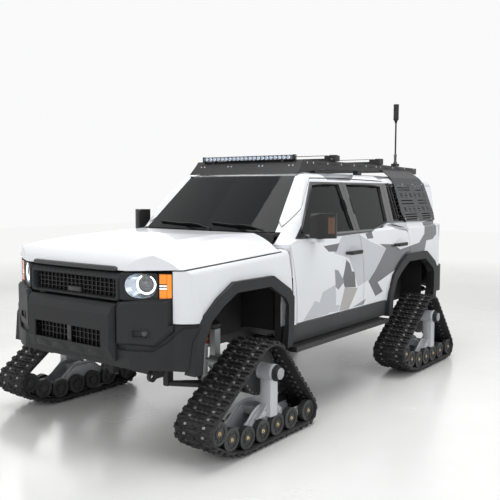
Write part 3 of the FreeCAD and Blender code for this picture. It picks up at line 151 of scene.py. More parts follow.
def buildWear(sh, given):
    # mask = how far the rounded normal turns away from the true one, broken up by noise
    rounded = sh.node("Bevel", {"samples": 4}, Radius=given["Width"])
    true = sh.node("NewGeometry").outputs["Normal"]
    turn = sh.node("VectorMath", {"operation": "DOT_PRODUCT"})
    sh.feed(turn.inputs[0], rounded.outputs[0])
    sh.feed(turn.inputs[1], true)
    edge = sh.ramp(turn.outputs["Value"], 0.995, 0.80)
    broken = sh.ramp(sh.noise(60.0, 4.0), 0.42, 0.62)
    mask = sh.math("MULTIPLY", edge, sh.math("MULTIPLY", broken, given["Amount"]), clamp=True)
    return {"Mask": mask, "Normal": rounded.outputs[0]}


def buildDust(sh, given):
    # mask = surfaces that face up, patchy, and thicker towards the ground
    normal = sh.node("NewGeometry").outputs["Normal"]
    up = sh.ramp(sh.node("SeparateXYZ", Vector=normal).outputs["Z"], -0.2, 1.0)
    height = sh.node("SeparateXYZ", Vector=sh.place()).outputs["Z"]
    low = sh.ramp(height, 0.9, 0.05)
    patches = sh.ramp(sh.noise(9.0, 6.0, 0.65), 0.40, 0.75)
    mask = sh.math("MULTIPLY", sh.math("ADD", sh.math("MULTIPLY", up, 0.5), low), patches)
    return {"Mask": sh.math("MULTIPLY", mask, given["Amount"], clamp=True)}


floatSocket, colourSocket, vectorSocket = "NodeSocketFloat", "NodeSocketColor", "NodeSocketVector"
grainGroup = makeGroup(
    "surfaceGrain", [("Scale", floatSocket, 400.0)], [("Height", floatSocket), ("Mottle", floatSocket)],
    buildGrain
)
wearGroup = makeGroup(
    "edgeWear",
    [("Width", floatSocket, 0.004), ("Amount", floatSocket, 0.5)],
    [("Mask", floatSocket), ("Normal", vectorSocket)],
    buildWear,
)
dustGroup = makeGroup("roadDust", [("Amount", floatSocket, 0.3)], [("Mask", floatSocket)], buildDust)


def groupNode(sh, group, **inputs):
    made = sh.tree.nodes.new("ShaderNodeGroup")
    made.node_tree = group
    for key, value in inputs.items():
        sh.feed(made.inputs[key], value)
    return made.outputs


def newMaterial(name, **sockets):
    material = bpy.data.materials.new(name)
    material.use_nodes = True
    sh = Shader(material.node_tree)
    body = material.node_tree.nodes["Principled BSDF"]
    for key, value in sockets.items():
        socket = body.inputs[key.replace("_", " ")]
        socket.default_value = (*value, 1.0) if isinstance(value, tuple) and len(value) == 3 else value
    return material, sh, body


def surfaceMaterial(name, colour, second=None, roughness=0.5, spread=0.1, grain=0.0, grainScale=400.0,
                    edge=0.004, wear=0.0, wearColour=(0.3, 0.3, 0.3), dust=0.0, **sockets):
    # moulded, painted or cast: the colour drifts to second, grain bumps, edges wear and dust settles
    material, sh, body = newMaterial(name, **sockets)
    grained = groupNode(sh, grainGroup, Scale=grainScale)
    worn = groupNode(sh, wearGroup, Width=edge, Amount=wear)
    tone = sh.mix(sh.ramp(grained["Mottle"], 0.3, 0.7), colour, second or tuple(c * 1.25 for c in colour))
    if wear:
        tone = sh.mix(worn["Mask"], tone, wearColour)
    shine = sh.ramp(grained["Mottle"], 0.3, 0.7, roughness - spread / 2, roughness + spread / 2)
    if dust:
        dusty = groupNode(sh, dustGroup, Amount=dust)["Mask"]
        tone = sh.mix(dusty, tone, (0.32, 0.31, 0.29))
        shine = sh.math("ADD", shine, sh.math("MULTIPLY", dusty, 0.3), clamp=True)
    sh.feed(body.inputs["Base Color"], tone)
    sh.feed(body.inputs["Roughness"], shine)
    normal = worn["Normal"]
    if grain:
        bump = sh.node("Bump", Height=grained["Height"], Normal=normal, Strength=grain, Distance=0.001)
        normal = bump.outputs[0]
    sh.feed(body.inputs["Normal"], normal)
    return material
# the body's paint: white, straight-edged grey patches towards the rear and a dark band round the windows
def patchMask(sh, flat, corners):
    # inside a convex patch every edge's signed distance is positive, so the smallest one is tested
    inside = None
    for (ax, az), (bx, bz) in zip(corners, corners[1:] + corners[:1]):
        nx, nz = bz - az, ax - bx
        run = math.hypot(nx, nz)
        line = sh.node("VectorMath", {"operation": "DOT_PRODUCT"})
        sh.feed(line.inputs[0], flat)
        sh.feed(line.inputs[1], (nx / run, nz / run, -(nx * ax + nz * az) / run))
        distance = line.outputs["Value"]
        inside = distance if inside is None else sh.math("MINIMUM", inside, distance)
    return inside


camouflage = {
    "pale": (0.51, 0.53, 0.57),
    "middle": (0.22, 0.235, 0.265),
    "dark": (0.066, 0.071, 0.081),
    "warm": (0.40, 0.385, 0.37),
    "surround": (0.009, 0.009, 0.010),
}


def buildCamouflage(sh, given):
    place = sh.node("SeparateXYZ", Vector=sh.place()).outputs
    flat = sh.node("CombineXYZ", X=place["X"], Y=place["Z"], Z=1.0).outputs[0]
    colour = given["Base"]
    for tone, corners in sidePatches:
        area = sum(ax * bz - bx * az for (ax, az), (bx, bz) in zip(corners, corners[1:] + corners[:1]))
        if area > 0:
            corners = corners[::-1]
        inside = sh.math("GREATER_THAN", patchMask(sh, flat, corners), 0.0)
        colour = sh.mix(inside, colour, camouflage[tone])
    return {"Colour": colour}


sidePatches = [
    # (tone, corners as distance ahead of the middle and height)
    ("pale", [(-0.24, 0.99), (-0.04, 0.95), (0.03, 1.09)]),
    ("pale", [(-0.24, 0.99), (0.03, 1.09), (0.11, 1.22)]),
    ("pale", [(0.11, 1.22), (0.36, 1.28), (0.29, 1.34)]),
    ("pale", [(0.29, 1.34), (0.19, 1.42), (-0.12, 1.42), (-0.33, 1.34)]),
    ("pale", [(0.29, 1.34), (-0.33, 1.34), (-0.63, 1.26), (-0.38, 1.06), (-0.24, 0.99), (0.11, 1.22)]),
    ("dark", [(0.45, 1.3), (0.52, 1.35), (0.25, 1.36), (0.32, 1.29)]),
    ("dark", [(0.24, 1.04), (0.16, 1.21), (0.1, 1.17), (0.07, 1.1)]),
    ("dark", [(0, 0.95), (0.2, 0.97), (0.24, 1.04), (0.07, 1.1), (0.02, 1.09)]),
    ("middle", [(0.21, 1.02), (0.31, 0.96), (0.36, 0.99), (0.37, 1.14), (0.31, 1.13)]),
    ("warm", [(0.28, 0.77), (0.2, 0.97), (-0.04, 0.94), (0.11, 0.76)]),
    ("pale", [(0.34, 0.83), (0.27, 0.82), (0.3, 0.77), (0.46, 0.78), (0.45, 0.83)]),
    ("pale", [(0.34, 0.83), (0.45, 0.83), (0.62, 0.88), (0.57, 0.97), (0.36, 1.01)]),
    ("pale", [(0.86, 0.76), (0.69, 0.91), (0.45, 0.83), (0.46, 0.77)]),
    ("dark", [(-1.39, 1.27), (-1.62, 1.31), (-1.52, 1.16)]),
    ("dark", [(-0.94, 1.23), (-1.39, 1.27), (-1.52, 1.16)]),
    ("dark", [(-0.43, 0.95), (-0.24, 0.98), (-0.37, 1.06)]),
    ("dark", [(-0.63, 1.26), (-0.5, 1.31), (-0.79, 1.29), (-0.94, 1.23)]),
    ("dark", [(-0.63, 1.26), (-0.94, 1.23), (-1.52, 1.16), (-1.08, 1.16)]),
    ("dark", [(-0.43, 0.95), (-0.55, 0.85), (-0.4, 0.82), (-0.24, 0.98)]),
    ("dark", [(-0.43, 0.95), (-0.37, 1.06), (-0.63, 1.26), (-1.08, 1.16), (-0.91, 1.06)]),
    ("dark", [(-0.27, 1.37), (-0.24, 1.42), (-0.37, 1.43), (-0.39, 1.37)]),
    ("middle", [(0.04, 0.77), (-0.21, 0.82), (-0.17, 0.77)]),
    ("dark", [(-1.57, 1.36), (-1.62, 1.48), (-1.94, 1.5), (-1.89, 1.34)]),
    ("dark", [(-1.57, 1.36), (-1.89, 1.34), (-1.77, 1.29), (-1.42, 1.28)]),
    ("pale", [(-0.89, 1.44), (-0.92, 1.5), (-1.23, 1.49), (-1.18, 1.41)]),
    ("middle", [(-1.18, 1.4), (-0.73, 1.48), (-0.91, 1.5)]),
    ("middle", [(-0.91, 1.5), (-0.89, 1.44), (-1.18, 1.4)]),
    ("middle", [(-0.48, 1.97), (0.01, 1.91), (0.11, 1.91), (0.17, 1.97), (-0.34, 2)]),
    ("dark", [(-0.48, 1.97), (-0.3, 1.91), (0.01, 1.91)]),
    ("dark", [(-0.92, 1.93), (-0.82, 2), (-1.14, 1.99), (-1.21, 1.95)]),
    ("middle", [(-2.06, 0.98), (-1.98, 1.3), (-2.24, 1.22), (-2.3, 0.94)]),
    ("pale", [(-1.95, 1.3), (-1.96, 1.46), (-2.2, 1.42), (-2.12, 1.24)]),
    ("surround", [(0.86, 1.425), (0.42, 1.893), (-0.37, 1.893), (-0.37, 1.43), (0.20, 1.42)]),
    ("surround", [(-0.37, 1.43), (-0.37, 1.893), (-0.77, 1.893), (-0.77, 1.50)]),
    ("surround", [(-0.77, 1.50), (-0.77, 1.893), (-1.30, 1.893), (-1.22, 1.49)]),
]
paintGroup = makeGroup("camouflagePaint", [("Base", colourSocket, (0.79, 0.81, 0.84, 1.0))],
                       [("Colour", colourSocket)], buildCamouflage)


def linerAndUnderShade(sh):
    # 1 on faces that look towards the middle plane, which carry dark trim, and on faces that look down,
    # where the dark is underseal under the body and painted shade under lips, edges and undercuts of the
    # outer skin
    normal = sh.node("SeparateXYZ", Vector=sh.node("TexCoord").outputs["Normal"]).outputs
    side = sh.math("SIGN", sh.node("SeparateXYZ", Vector=sh.place()).outputs["Y"])
    inward = sh.math("MULTIPLY", sh.math("MULTIPLY", normal["Y"], side), -1.0)
    down = sh.math("MULTIPLY", normal["Z"], -0.7)
    return sh.math("GREATER_THAN", sh.math("MAXIMUM", inward, down), 0.4)


def archFaces(sh):
    # 1 on faces across the body that lie within the arches' radius of an axle
    place = sh.node("SeparateXYZ", Vector=sh.place()).outputs
    normal = sh.node("SeparateXYZ", Vector=sh.node("TexCoord").outputs["Normal"]).outputs
    across = sh.math("LESS_THAN", sh.math("ABSOLUTE", normal["Y"]), 0.6)
    near = None
    for axle in (frontAxle, rearAxle):
        run = sh.math("ABSOLUTE", sh.math("SUBTRACT", place["X"], axle))
        near = run if near is None else sh.math("MINIMUM", near, run)
    inside = sh.math("MULTIPLY", sh.math("LESS_THAN", near, 0.58), sh.math("LESS_THAN", place["Z"], 1.13))
    return sh.math("MULTIPLY", across, inside)


def paintMaterial(name, patched, claddingBelow=0.0):
    # clear coat over paint; below the given height the panel is grained cladding
    material, sh, body = newMaterial(name, Coat_Weight=0.65, Coat_Roughness=0.07)
    grained = groupNode(sh, grainGroup, Scale=700.0)
    worn = groupNode(sh, wearGroup, Width=0.006, Amount=0.0)
    tone = groupNode(sh, paintGroup)["Colour"] if patched else (0.79, 0.81, 0.84, 1.0)
    tone = sh.mix(sh.ramp(grained["Mottle"], 0.3, 0.7, 0.0, 0.05), tone, (0.70, 0.71, 0.73))
    shine = sh.ramp(grained["Mottle"], 0.3, 0.7, 0.30, 0.38)
    if claddingBelow:
        height = sh.node("SeparateXYZ", Vector=sh.place()).outputs["Z"]
        clad = sh.math("LESS_THAN", height, claddingBelow)
        tone = sh.mix(clad, tone, (0.035, 0.036, 0.038))
        shine = sh.math("ADD", shine, sh.math("MULTIPLY", clad, 0.25))
        coat = sh.math("SUBTRACT", 0.65, sh.math("MULTIPLY", clad, 0.65))
        sh.feed(body.inputs["Coat Weight"], coat)
    dusty = groupNode(sh, dustGroup, Amount=0.06)["Mask"]
    tone = sh.mix(dusty, tone, (0.45, 0.44, 0.42))
    # dark on inward faces and in the arches is liner and underseal; on the outer skin's down-facing faces
    # it is painted shade
    tone = sh.mix(sh.math("MAXIMUM", linerAndUnderShade(sh), archFaces(sh)), tone, (0.018, 0.018, 0.019))
    bump = sh.node("Bump", Height=grained["Height"], Normal=worn["Normal"], Strength=0.015, Distance=0.001)
    sh.feed(body.inputs["Base Color"], tone)
    sh.feed(body.inputs["Roughness"], shine)
    sh.feed(body.inputs["Normal"], bump.outputs[0])
    return material


def glassMaterial(name, tint, through, roughness=0.02, shine=0.2):
    # thin tinted pane: part of the light passes straight through, the rest is a dark gloss
    material, sh, body = newMaterial(name, Roughness=roughness, IOR=1.5, Specular_IOR_Level=shine)
    film = sh.ramp(sh.noise(2.5, 3.0), 0.3, 0.7, 0.9, 1.1)
    shade = sh.node("VectorMath", {"operation": "SCALE"}, Scale=film)
    sh.feed(shade.inputs[0], tint)
    sh.feed(body.inputs["Base Color"], shade.outputs[0])
    body.inputs["Alpha"].default_value = 1.0 - through
    material.surface_render_method = "BLENDED"
    return material


def lightMaterial(name, colour, strength):
    material, sh, body = newMaterial(name, Roughness=0.25)
    glow = sh.mix(sh.ramp(sh.noise(40.0), 0.3, 0.7), colour, tuple(min(1.0, c * 1.15) for c in colour))
    sh.feed(body.inputs["Base Color"], glow)
    sh.feed(body.inputs["Emission Color"], glow)
    body.inputs["Emission Strength"].default_value = strength
    return material


def fabricMaterial(name, colour, second):
    # weave = two crossed waves on the object's own coordinates, with lint noise
    material, sh, body = newMaterial(name, Sheen_Weight=0.25, Sheen_Roughness=0.5)
    place = sh.place()
    across = sh.node("TexWave", {"bands_direction": "Y"}, Vector=place, Scale=180.0, Distortion=0.4)
    along = sh.node("TexWave", {"bands_direction": "DIAGONAL"}, Vector=place, Scale=160.0, Distortion=0.4)
    weave = sh.math("MULTIPLY", across.outputs["Fac"], along.outputs["Fac"])
    tone = sh.mix(sh.ramp(sh.noise(5.0), 0.3, 0.7), colour, second)
    tone = sh.mix(sh.math("MULTIPLY", weave, 0.35), tone, (0.12, 0.12, 0.125))
    sh.feed(body.inputs["Base Color"], tone)
    sh.feed(body.inputs["Roughness"], sh.ramp(weave, 0.0, 1.0, 0.95, 0.75))
    bump = sh.node("Bump", Height=weave, Strength=0.35, Distance=0.001)
    sh.feed(body.inputs["Normal"], bump.outputs[0])
    return material


make = surfaceMaterial
finishes = {
    "paint": paintMaterial("satin_white_paint", False),
    "patchedPaint": paintMaterial("camouflage_paint", True),
    "sidePaint": paintMaterial("camouflage_paint_and_cladding", True, 0.752),
    "charcoal": make("grained_charcoal_plastic", (0.018, 0.0185, 0.020), (0.025, 0.026, 0.028), 0.50, 0.1,
                     0.35, 900.0, 0.006, 0.08, (0.08, 0.08, 0.085), 0.04, Specular_IOR_Level=0.25),
    "blackPlastic": make("black_moulding", (0.012, 0.012, 0.013), (0.02, 0.02, 0.021), 0.45, 0.12, 0.2,
                         800.0,
                         0.003, 0.1, (0.06, 0.06, 0.06), 0.03, Specular_IOR_Level=0.3),
    "glossBlack": make("gloss_black_trim", (0.006, 0.006, 0.007), (0.009, 0.009, 0.010), 0.10, 0.04,
                       edge=0.002,
                       Coat_Weight=0.5, Coat_Roughness=0.05),
    "seal": make("rubber_seal", (0.010, 0.010, 0.010), (0.016, 0.016, 0.016), 0.75, 0.1, 0.2, 900.0, 0.002),
    "glass": glassMaterial("tinted_glass", (0.005, 0.006, 0.007), 0.20),
    "privacyGlass": glassMaterial("privacy_glass", (0.006, 0.007, 0.008), 0.10),
    "clearLens": glassMaterial("clear_lens", (0.75, 0.78, 0.80), 0.88, 0.03, 0.5),
    "darkLens": make("projector_lens", (0.030, 0.034, 0.040), (0.022, 0.026, 0.032), 0.04, 0.02, edge=0.001,
                     Coat_Weight=1.0, Coat_Roughness=0.02),
    "steelDark": make("dull_alloy", (0.10, 0.10, 0.105), (0.075, 0.076, 0.08), 0.42, 0.15, 0.2, 600.0,
                      0.001,
                      Metallic=0.7),
    "charcoalGloss": make("smooth_charcoal_trim", (0.016, 0.017, 0.018), (0.022, 0.023, 0.024), 0.26, 0.08,
                          0.12, 900.0, 0.003, Coat_Weight=0.2, Coat_Roughness=0.2),
    "mirrorGlass": make("mirror_glass", (0.80, 0.82, 0.84), (0.78, 0.80, 0.83), 0.03, 0.01, edge=0.001,
                        Metallic=1.0),
    "reflector": make("bright_reflector", (0.75, 0.80, 0.88), (0.62, 0.70, 0.82), 0.16, 0.08, 0.2, 300.0,
                      0.002,
                      Metallic=0.9),
    "ringLight": lightMaterial("running_light_ring", (0.82, 0.93, 1.0), 2.2),
    "amber": make("amber_lens", (0.95, 0.27, 0.008), (0.72, 0.16, 0.006), 0.14, 0.05, 0.4, 260.0, 0.002,
                  Coat_Weight=0.7, Coat_Roughness=0.03, Emission_Color=(1.0, 0.30, 0.01),
                  Emission_Strength=0.35),
    "darkAmber": make("dark_amber_lens", (0.10, 0.030, 0.008), (0.07, 0.020, 0.006), 0.14, 0.05, 0.3, 260.0,
                      0.002,
                      Coat_Weight=0.6),
    "whiteBar": lightMaterial("marker_light", (0.95, 0.96, 1.0), 0.5),
    "redLens": make("red_lens", (0.42, 0.012, 0.010), (0.30, 0.008, 0.008), 0.12, 0.05, 0.3, 260.0, 0.002,
                    Coat_Weight=0.8, Coat_Roughness=0.03),
    "darkRed": make("dark_red_lens", (0.10, 0.006, 0.006), (0.14, 0.008, 0.008), 0.15, 0.05, 0.4, 200.0,
                    0.002,
                    Coat_Weight=0.8),
    "rubber": make("track_rubber", (0.008, 0.008, 0.009), (0.015, 0.015, 0.017), 0.60, 0.25, 0.45, 350.0,
                   0.003,
                   0.18, (0.07, 0.07, 0.075), 0.10, Specular_IOR_Level=0.35),
    "trackPaint": make("pale_powder_coat", (0.52, 0.53, 0.56), (0.60, 0.61, 0.64), 0.38, 0.12, 0.12, 700.0,
                       0.005,
                       0.25, (0.30, 0.30, 0.31), 0.22),
    "wheelPlastic": make("roller_moulding", (0.036, 0.037, 0.039), (0.055, 0.056, 0.058), 0.45, 0.15, 0.25,
                         600.0,
                         0.003, 0.2, (0.13, 0.13, 0.135), 0.12, Specular_IOR_Level=0.3),
    "sprocket": make("sprocket_moulding", (0.022, 0.022, 0.024), (0.032, 0.032, 0.034), 0.5, 0.15, 0.3,
                     500.0,
                     0.003, 0.2, (0.10, 0.10, 0.105), 0.12),
    "gold": make("plated_bolt", (0.62, 0.46, 0.22), (0.52, 0.38, 0.18), 0.32, 0.15, 0.15, 900.0, 0.001,
                 Metallic=1.0),
    "steel": make("zinc_steel", (0.46, 0.47, 0.49), (0.36, 0.37, 0.39), 0.36, 0.16, 0.15, 900.0, 0.001, 0.2,
                  (0.6, 0.6, 0.6), 0.15, Metallic=1.0),
    "clip": make("worn_steel_clip", (0.38, 0.38, 0.38), (0.26, 0.26, 0.26), 0.42, 0.2, 0.3, 500.0, 0.001,
                 0.3,
                 (0.6, 0.6, 0.6), 0.2, Metallic=0.9),
    "castMetal": make("cast_alloy", (0.42, 0.43, 0.44), (0.33, 0.34, 0.35), 0.48, 0.15, 0.5, 250.0, 0.004,
                      0.2,
                      (0.55, 0.55, 0.56), 0.25, Metallic=0.7),
    "chassis": make("chassis_paint", (0.011, 0.011, 0.012), (0.018, 0.018, 0.019), 0.55, 0.2, 0.5, 220.0,
                    0.004,
                    0.25, (0.11, 0.09, 0.075), 0.18),
    "underseal": make("underseal", (0.009, 0.009, 0.010), (0.014, 0.014, 0.014), 0.80, 0.1, 0.9, 140.0,
                      0.004,
                      dust=0.12),
    "springRed": make("red_spring_coat", (0.50, 0.012, 0.014), (0.40, 0.010, 0.012), 0.30, 0.1, 0.15, 500.0,
                      0.001,
                      0.2, (0.2, 0.1, 0.1), 0.15),
    "damperYellow": make("damper_sleeve", (0.70, 0.62, 0.10), (0.60, 0.54, 0.10), 0.35, 0.1, 0.1, 500.0,
                         0.001),
    "damperWhite": make("damper_body", (0.62, 0.63, 0.64), (0.54, 0.55, 0.56), 0.32, 0.1, 0.1, 500.0, 0.001,
                        dust=0.2),
    "rackCoat": make("black_powder_coat", (0.014, 0.014, 0.015), (0.022, 0.022, 0.023), 0.42, 0.12, 0.35,
                     800.0,
                     0.002, 0.2, (0.10, 0.10, 0.10), 0.05, Specular_IOR_Level=0.35),
    "panelCoat": make("grey_powder_coat", (0.030, 0.031, 0.033), (0.042, 0.043, 0.046), 0.45, 0.12, 0.35,
                      800.0,
                      0.002, 0.2, (0.12, 0.12, 0.12), 0.05),
    "tank": make("moulded_tank", (0.014, 0.014, 0.015), (0.024, 0.024, 0.024), 0.6, 0.15, 0.4, 300.0, 0.006,
                 dust=0.4),
    "exhaust": make("heat_tinted_steel", (0.30, 0.27, 0.24), (0.22, 0.20, 0.19), 0.45, 0.2, 0.3, 250.0,
                    0.003, 0.2,
                    (0.4, 0.36, 0.3), 0.4, Metallic=0.85),
    "engine": make("cast_block", (0.16, 0.16, 0.17), (0.10, 0.10, 0.11), 0.55, 0.2, 0.7, 180.0, 0.006, 0.2,
                   (0.3, 0.3, 0.3), 0.3, Metallic=0.5),
    "trim": make("grained_cabin_trim", (0.020, 0.020, 0.022), (0.028, 0.028, 0.030), 0.62, 0.1, 0.5, 500.0,
                 0.004),
    "leather": make("rim_leather", (0.024, 0.022, 0.021), (0.034, 0.032, 0.030), 0.5, 0.12, 0.5, 420.0,
                    0.003),
    "fabric": fabricMaterial("seat_fabric_weave", (0.045, 0.045, 0.048), (0.065, 0.065, 0.068)),
    "seam": make("seat_seam", (0.012, 0.012, 0.012), (0.02, 0.02, 0.02), 0.8, 0.1, 0.3, 900.0, 0.001),
}

nodeFinishes = {
    "paint": ["bonnet", "front_fender_left", "front_fender_right"],
    "patchedPaint": ["front_door_left", "front_door_right", "rear_door_left", "rear_door_right",
                     "roof_panel",
                     "tailgate"],
    "sidePaint": ["side_frame_left", "side_frame_right"],
    "charcoal": ["front_bumper", "rear_bumper", "wheel_arch_flares"],
    "blackPlastic": ["grille", "door_mirror_left", "door_mirror_right", "antenna"],
    "glass": ["windscreen", "front_door_left_glass", "front_door_right_glass"],
    "privacyGlass": ["rear_door_left_glass", "rear_door_right_glass", "quarter_windows", "tailgate_glass"],
    "clearLens": ["headlights"],
    "redLens": ["tail_lamps"],
    "rubber": ["front_left_track_belt", "front_right_track_belt", "rear_track_belts"],
    "trackPaint": ["front_left_track_frame", "front_right_track_frame", "rear_track_frames"],
    "wheelPlastic": ["front_left_track_wheels", "front_right_track_wheels", "rear_track_wheels"],
    "sprocket": ["front_left_track_sprocket", "front_right_track_sprocket", "rear_track_sprockets"],
    "rackCoat": ["roof_rack", "light_bar", "ski_carrier", "running_boards"],
    "panelCoat": ["side_panels"],
    "castMetal": ["front_left_knuckle", "front_right_knuckle", "gearbox"],
    "chassis": ["chassis_frame", "rear_axle", "front_suspension_arms"],
    "underseal": ["floor_pan"],
    "damperWhite": ["front_dampers"],
    "engine": ["engine"],
    "tank": ["fuel_tank"],
    "exhaust": ["exhaust"],
    "trim": ["dashboard"],
    "leather": ["steering_wheel"],
    "fabric": ["front_seats", "rear_bench"],
}
for finish, members in nodeFinishes.items():
    for member in members:
        mesh = nodes[member].data
        mesh.materials.clear()
        mesh.materials.append(finishes[finish])
print("finishes on", sum(len(members) for members in nodeFinishes.values()), "nodes")
# camera, lamps and floor
cameraValues = {"place": (5.5875, 3.978, 1.807), "yaw": 37.03, "pitch": 4.77, "roll": 0.16, "lens": 50.6}


def placeCamera(values):
    yaw, pitch = math.radians(values["yaw"]), math.radians(values["pitch"])
    gaze = Vector((-math.cos(yaw) * math.cos(pitch), -math.sin(yaw) * math.cos(pitch), -math.sin(pitch)))
    data = bpy.data.cameras.new("viewCamera")
    data.lens, data.sensor_width = values["lens"], 36.0
    camera = bpy.data.objects.new("viewCamera", data)
    camera.rotation_mode = "QUATERNION"
    turn = gaze.to_track_quat("-Z", "Y").to_matrix()
    camera.rotation_quaternion = (turn @ Euler((0, 0,
                                                math.radians(values["roll"]))).to_matrix()).to_quaternion()
    camera.location = values["place"]
    scene.collection.objects.link(camera)
    scene.camera = camera


placeCamera(cameraValues)
scene.view_settings.view_transform = "Standard"


def softLamp(name, place, target, width, height, power, colour=(1.0, 1.0, 1.0)):
    data = bpy.data.lights.new(name, "AREA")
    data.shape = "RECTANGLE"
    data.size, data.size_y = width, height
    data.energy, data.color = power, colour
    lamp = bpy.data.objects.new(name, data)
    lamp.location = place
    lamp.rotation_euler = (Vector(target) - Vector(place)).to_track_quat("-Z", "Y").to_euler()
    scene.collection.objects.link(lamp)


# name: (place, what it faces, width, height, watts, colour)
lampValues = {
    "ceilingSoftbox": ((0.3, 0.6, 5.6), (0.0, 0.0, 0.8), 6.5, 4.0, 235),
    "nearSideSoftbox": ((1.2, 6.5, 3.4), (0.0, 0.0, 0.9), 6.0, 2.6, 78, (0.93, 0.96, 1.0)),
    "noseSoftbox": ((7.2, 0.8, 3.2), (1.8, 0.0, 0.9), 4.5, 2.6, 85),
    "farRim": ((-3.5, -5.5, 3.2), (0.0, 0.0, 1.2), 5.0, 2.4, 70),
}
for lampName, values in lampValues.items():
    softLamp(lampName, *values)

floorValues = {"span": 26.0, "dull": (0.92, 0.92, 0.905), "clean": (0.96, 0.96, 0.945),
               "roughness": (0.16, 0.30),
               "fade": (5.5, 13.0), "horizon": (0.93, 0.93, 0.925, 1.0)}


def buildFloor():
    span = floorValues["span"]
    mesh = bpy.data.meshes.new("studioFloor")
    mesh.from_pydata([(-span, -span, 0), (span, -span, 0), (span, span, 0), (-span, span, 0)], [],
                     [(0, 1, 2, 3)])
    floor = bpy.data.objects.new("studioFloor", mesh)
    scene.collection.objects.link(floor)
    material, sh, body = newMaterial("pale_glossy_floor")
    smudge = sh.ramp(sh.noise(0.9, 5.0), 0.3, 0.7)
    sh.feed(body.inputs["Base Color"], sh.mix(smudge, floorValues["dull"], floorValues["clean"]))
    sh.feed(body.inputs["Roughness"], sh.ramp(smudge, 0.0, 1.0, *floorValues["roughness"]))
    fade = sh.node("VectorMath", {"operation": "LENGTH"}, Vector=sh.place()).outputs["Value"]
    far = sh.ramp(fade, *floorValues["fade"])
    glow = sh.tree.nodes.new("ShaderNodeEmission")
    glow.inputs["Color"].default_value = floorValues["horizon"]
    blend = sh.tree.nodes.new("ShaderNodeMixShader")
    sh.feed(blend.inputs[0], far)
    out = material.node_tree.nodes["Material Output"]
    sh.tree.links.new(body.outputs[0], blend.inputs[1])
    sh.tree.links.new(glow.outputs[0], blend.inputs[2])
    sh.tree.links.new(blend.outputs[0], out.inputs["Surface"])
    mesh.materials.append(material)


buildFloor()

world = bpy.data.worlds.new("studioWorld")
scene.world = world
world.use_nodes = True
worldShader = Shader(world.node_tree)
back = world.node_tree.nodes["Background"]
path = worldShader.node("LightPath").outputs
seen = worldShader.math("MAXIMUM", path["Is Camera Ray"],
                        worldShader.math("MAXIMUM", path["Is Glossy Ray"], path["Is Transmission Ray"]))
worldShader.feed(back.inputs["Color"], worldShader.mix(seen, (1.0, 1.0, 1.0), (0.955, 0.955, 0.957)))
worldShader.feed(back.inputs["Strength"], worldShader.ramp(seen, 0.0, 1.0, 0.42, 1.0))
print("camera, floor and lamps placed")
# a form is points, the corners of its faces in a row, and each face's corner count
class Form:
    def __init__(self, points, corners, counts, finish=0):
        self.points, self.corners, self.counts = points, corners, counts
        self.finishes = np.full(len(counts), finish, dtype=np.int32)


def joined(forms):
    shift = np.cumsum([0] + [len(form.points) for form in forms[:-1]])
    whole = Form(
        np.concatenate([form.points for form in forms]),
        np.concatenate([form.corners + step for form, step in zip(forms, shift)]),
        np.concatenate([form.counts for form in forms]),
    )
    whole.finishes = np.concatenate([form.finishes for form in forms])
    return whole


def moved(form, turn=(0, 0, 0), to=(0, 0, 0), size=(1, 1, 1)):
    # points times size, turned in degrees about x then y then z, then shifted
    spin = np.array(Euler([math.radians(angle) for angle in turn]).to_matrix())
    made = Form((form.points * np.array(size)) @ spin.T + np.array(to), form.corners, form.counts)
    made.finishes = form.finishes
    return outward(made) if np.prod(size) < 0 else made


def painted(form, finish):
    form.finishes = np.full(len(form.counts), finish, dtype=np.int32)
    return form


def reversedFaces(form):
    # each face's corners are read backwards: index = start + end - 1 - place
    ends = np.cumsum(form.counts)
    start, end = np.repeat(ends - form.counts, form.counts), np.repeat(ends, form.counts)
    made = Form(form.points, form.corners[start + end - 1 - np.arange(len(form.corners))], form.counts)
    made.finishes = form.finishes
    return made


def outward(form):
    # signed volume of the cones from the middle to each corner pair; negative means inside out
    ends = np.cumsum(form.counts)
    starts = ends - form.counts
    first = np.repeat(form.corners[starts], form.counts)
    following = np.roll(form.corners, -1)
    following[ends - 1] = form.corners[starts]
    base = form.points - form.points.mean(axis=0)
    volume = np.einsum("ij,ij->i", base[first], np.cross(base[form.corners], base[following])).sum()
    return reversedFaces(form) if volume < 0 else form


def gridForm(points, closeRows=False, closeColumns=True, caps=True, finish=0):
    # rows x columns of points; a face joins each point to the next row's and the next column's
    rows, columns = points.shape[:2]
    index = np.arange(rows * columns).reshape(rows, columns)
    if closeRows:
        index = np.concatenate([index, index[:1]])
    if closeColumns:
        index = np.concatenate([index, index[:, :1]], axis=1)
    quads = np.stack([index[:-1, :-1], index[1:, :-1], index[1:, 1:], index[:-1, 1:]], axis=-1).reshape(-1,
                                                                                                        4)
    corners, counts = [quads.ravel()], [np.full(len(quads), 4)]
    if caps and closeColumns and not closeRows:
        corners += [index[0, :columns], index[rows - 1, :columns][::-1]]
        counts.append(np.full(2, columns))
    form = Form(points.reshape(-1, 3).astype(float), np.concatenate(corners), np.concatenate(counts),
                finish)
    return outward(form) if closeColumns and (caps or closeRows) else form


def pathFrames(path, up, closed):
    # tangent from the neighbours; side = up x tangent; rise = tangent x side
    if closed:
        tangent = np.roll(path, -1, axis=0) - np.roll(path, 1, axis=0)
    else:
        tangent = np.gradient(path, axis=0)
    tangent /= np.linalg.norm(tangent, axis=1, keepdims=True)
    side = np.cross(np.broadcast_to(up, path.shape), tangent)
    side /= np.linalg.norm(side, axis=1, keepdims=True)
    return side, np.cross(tangent, side)


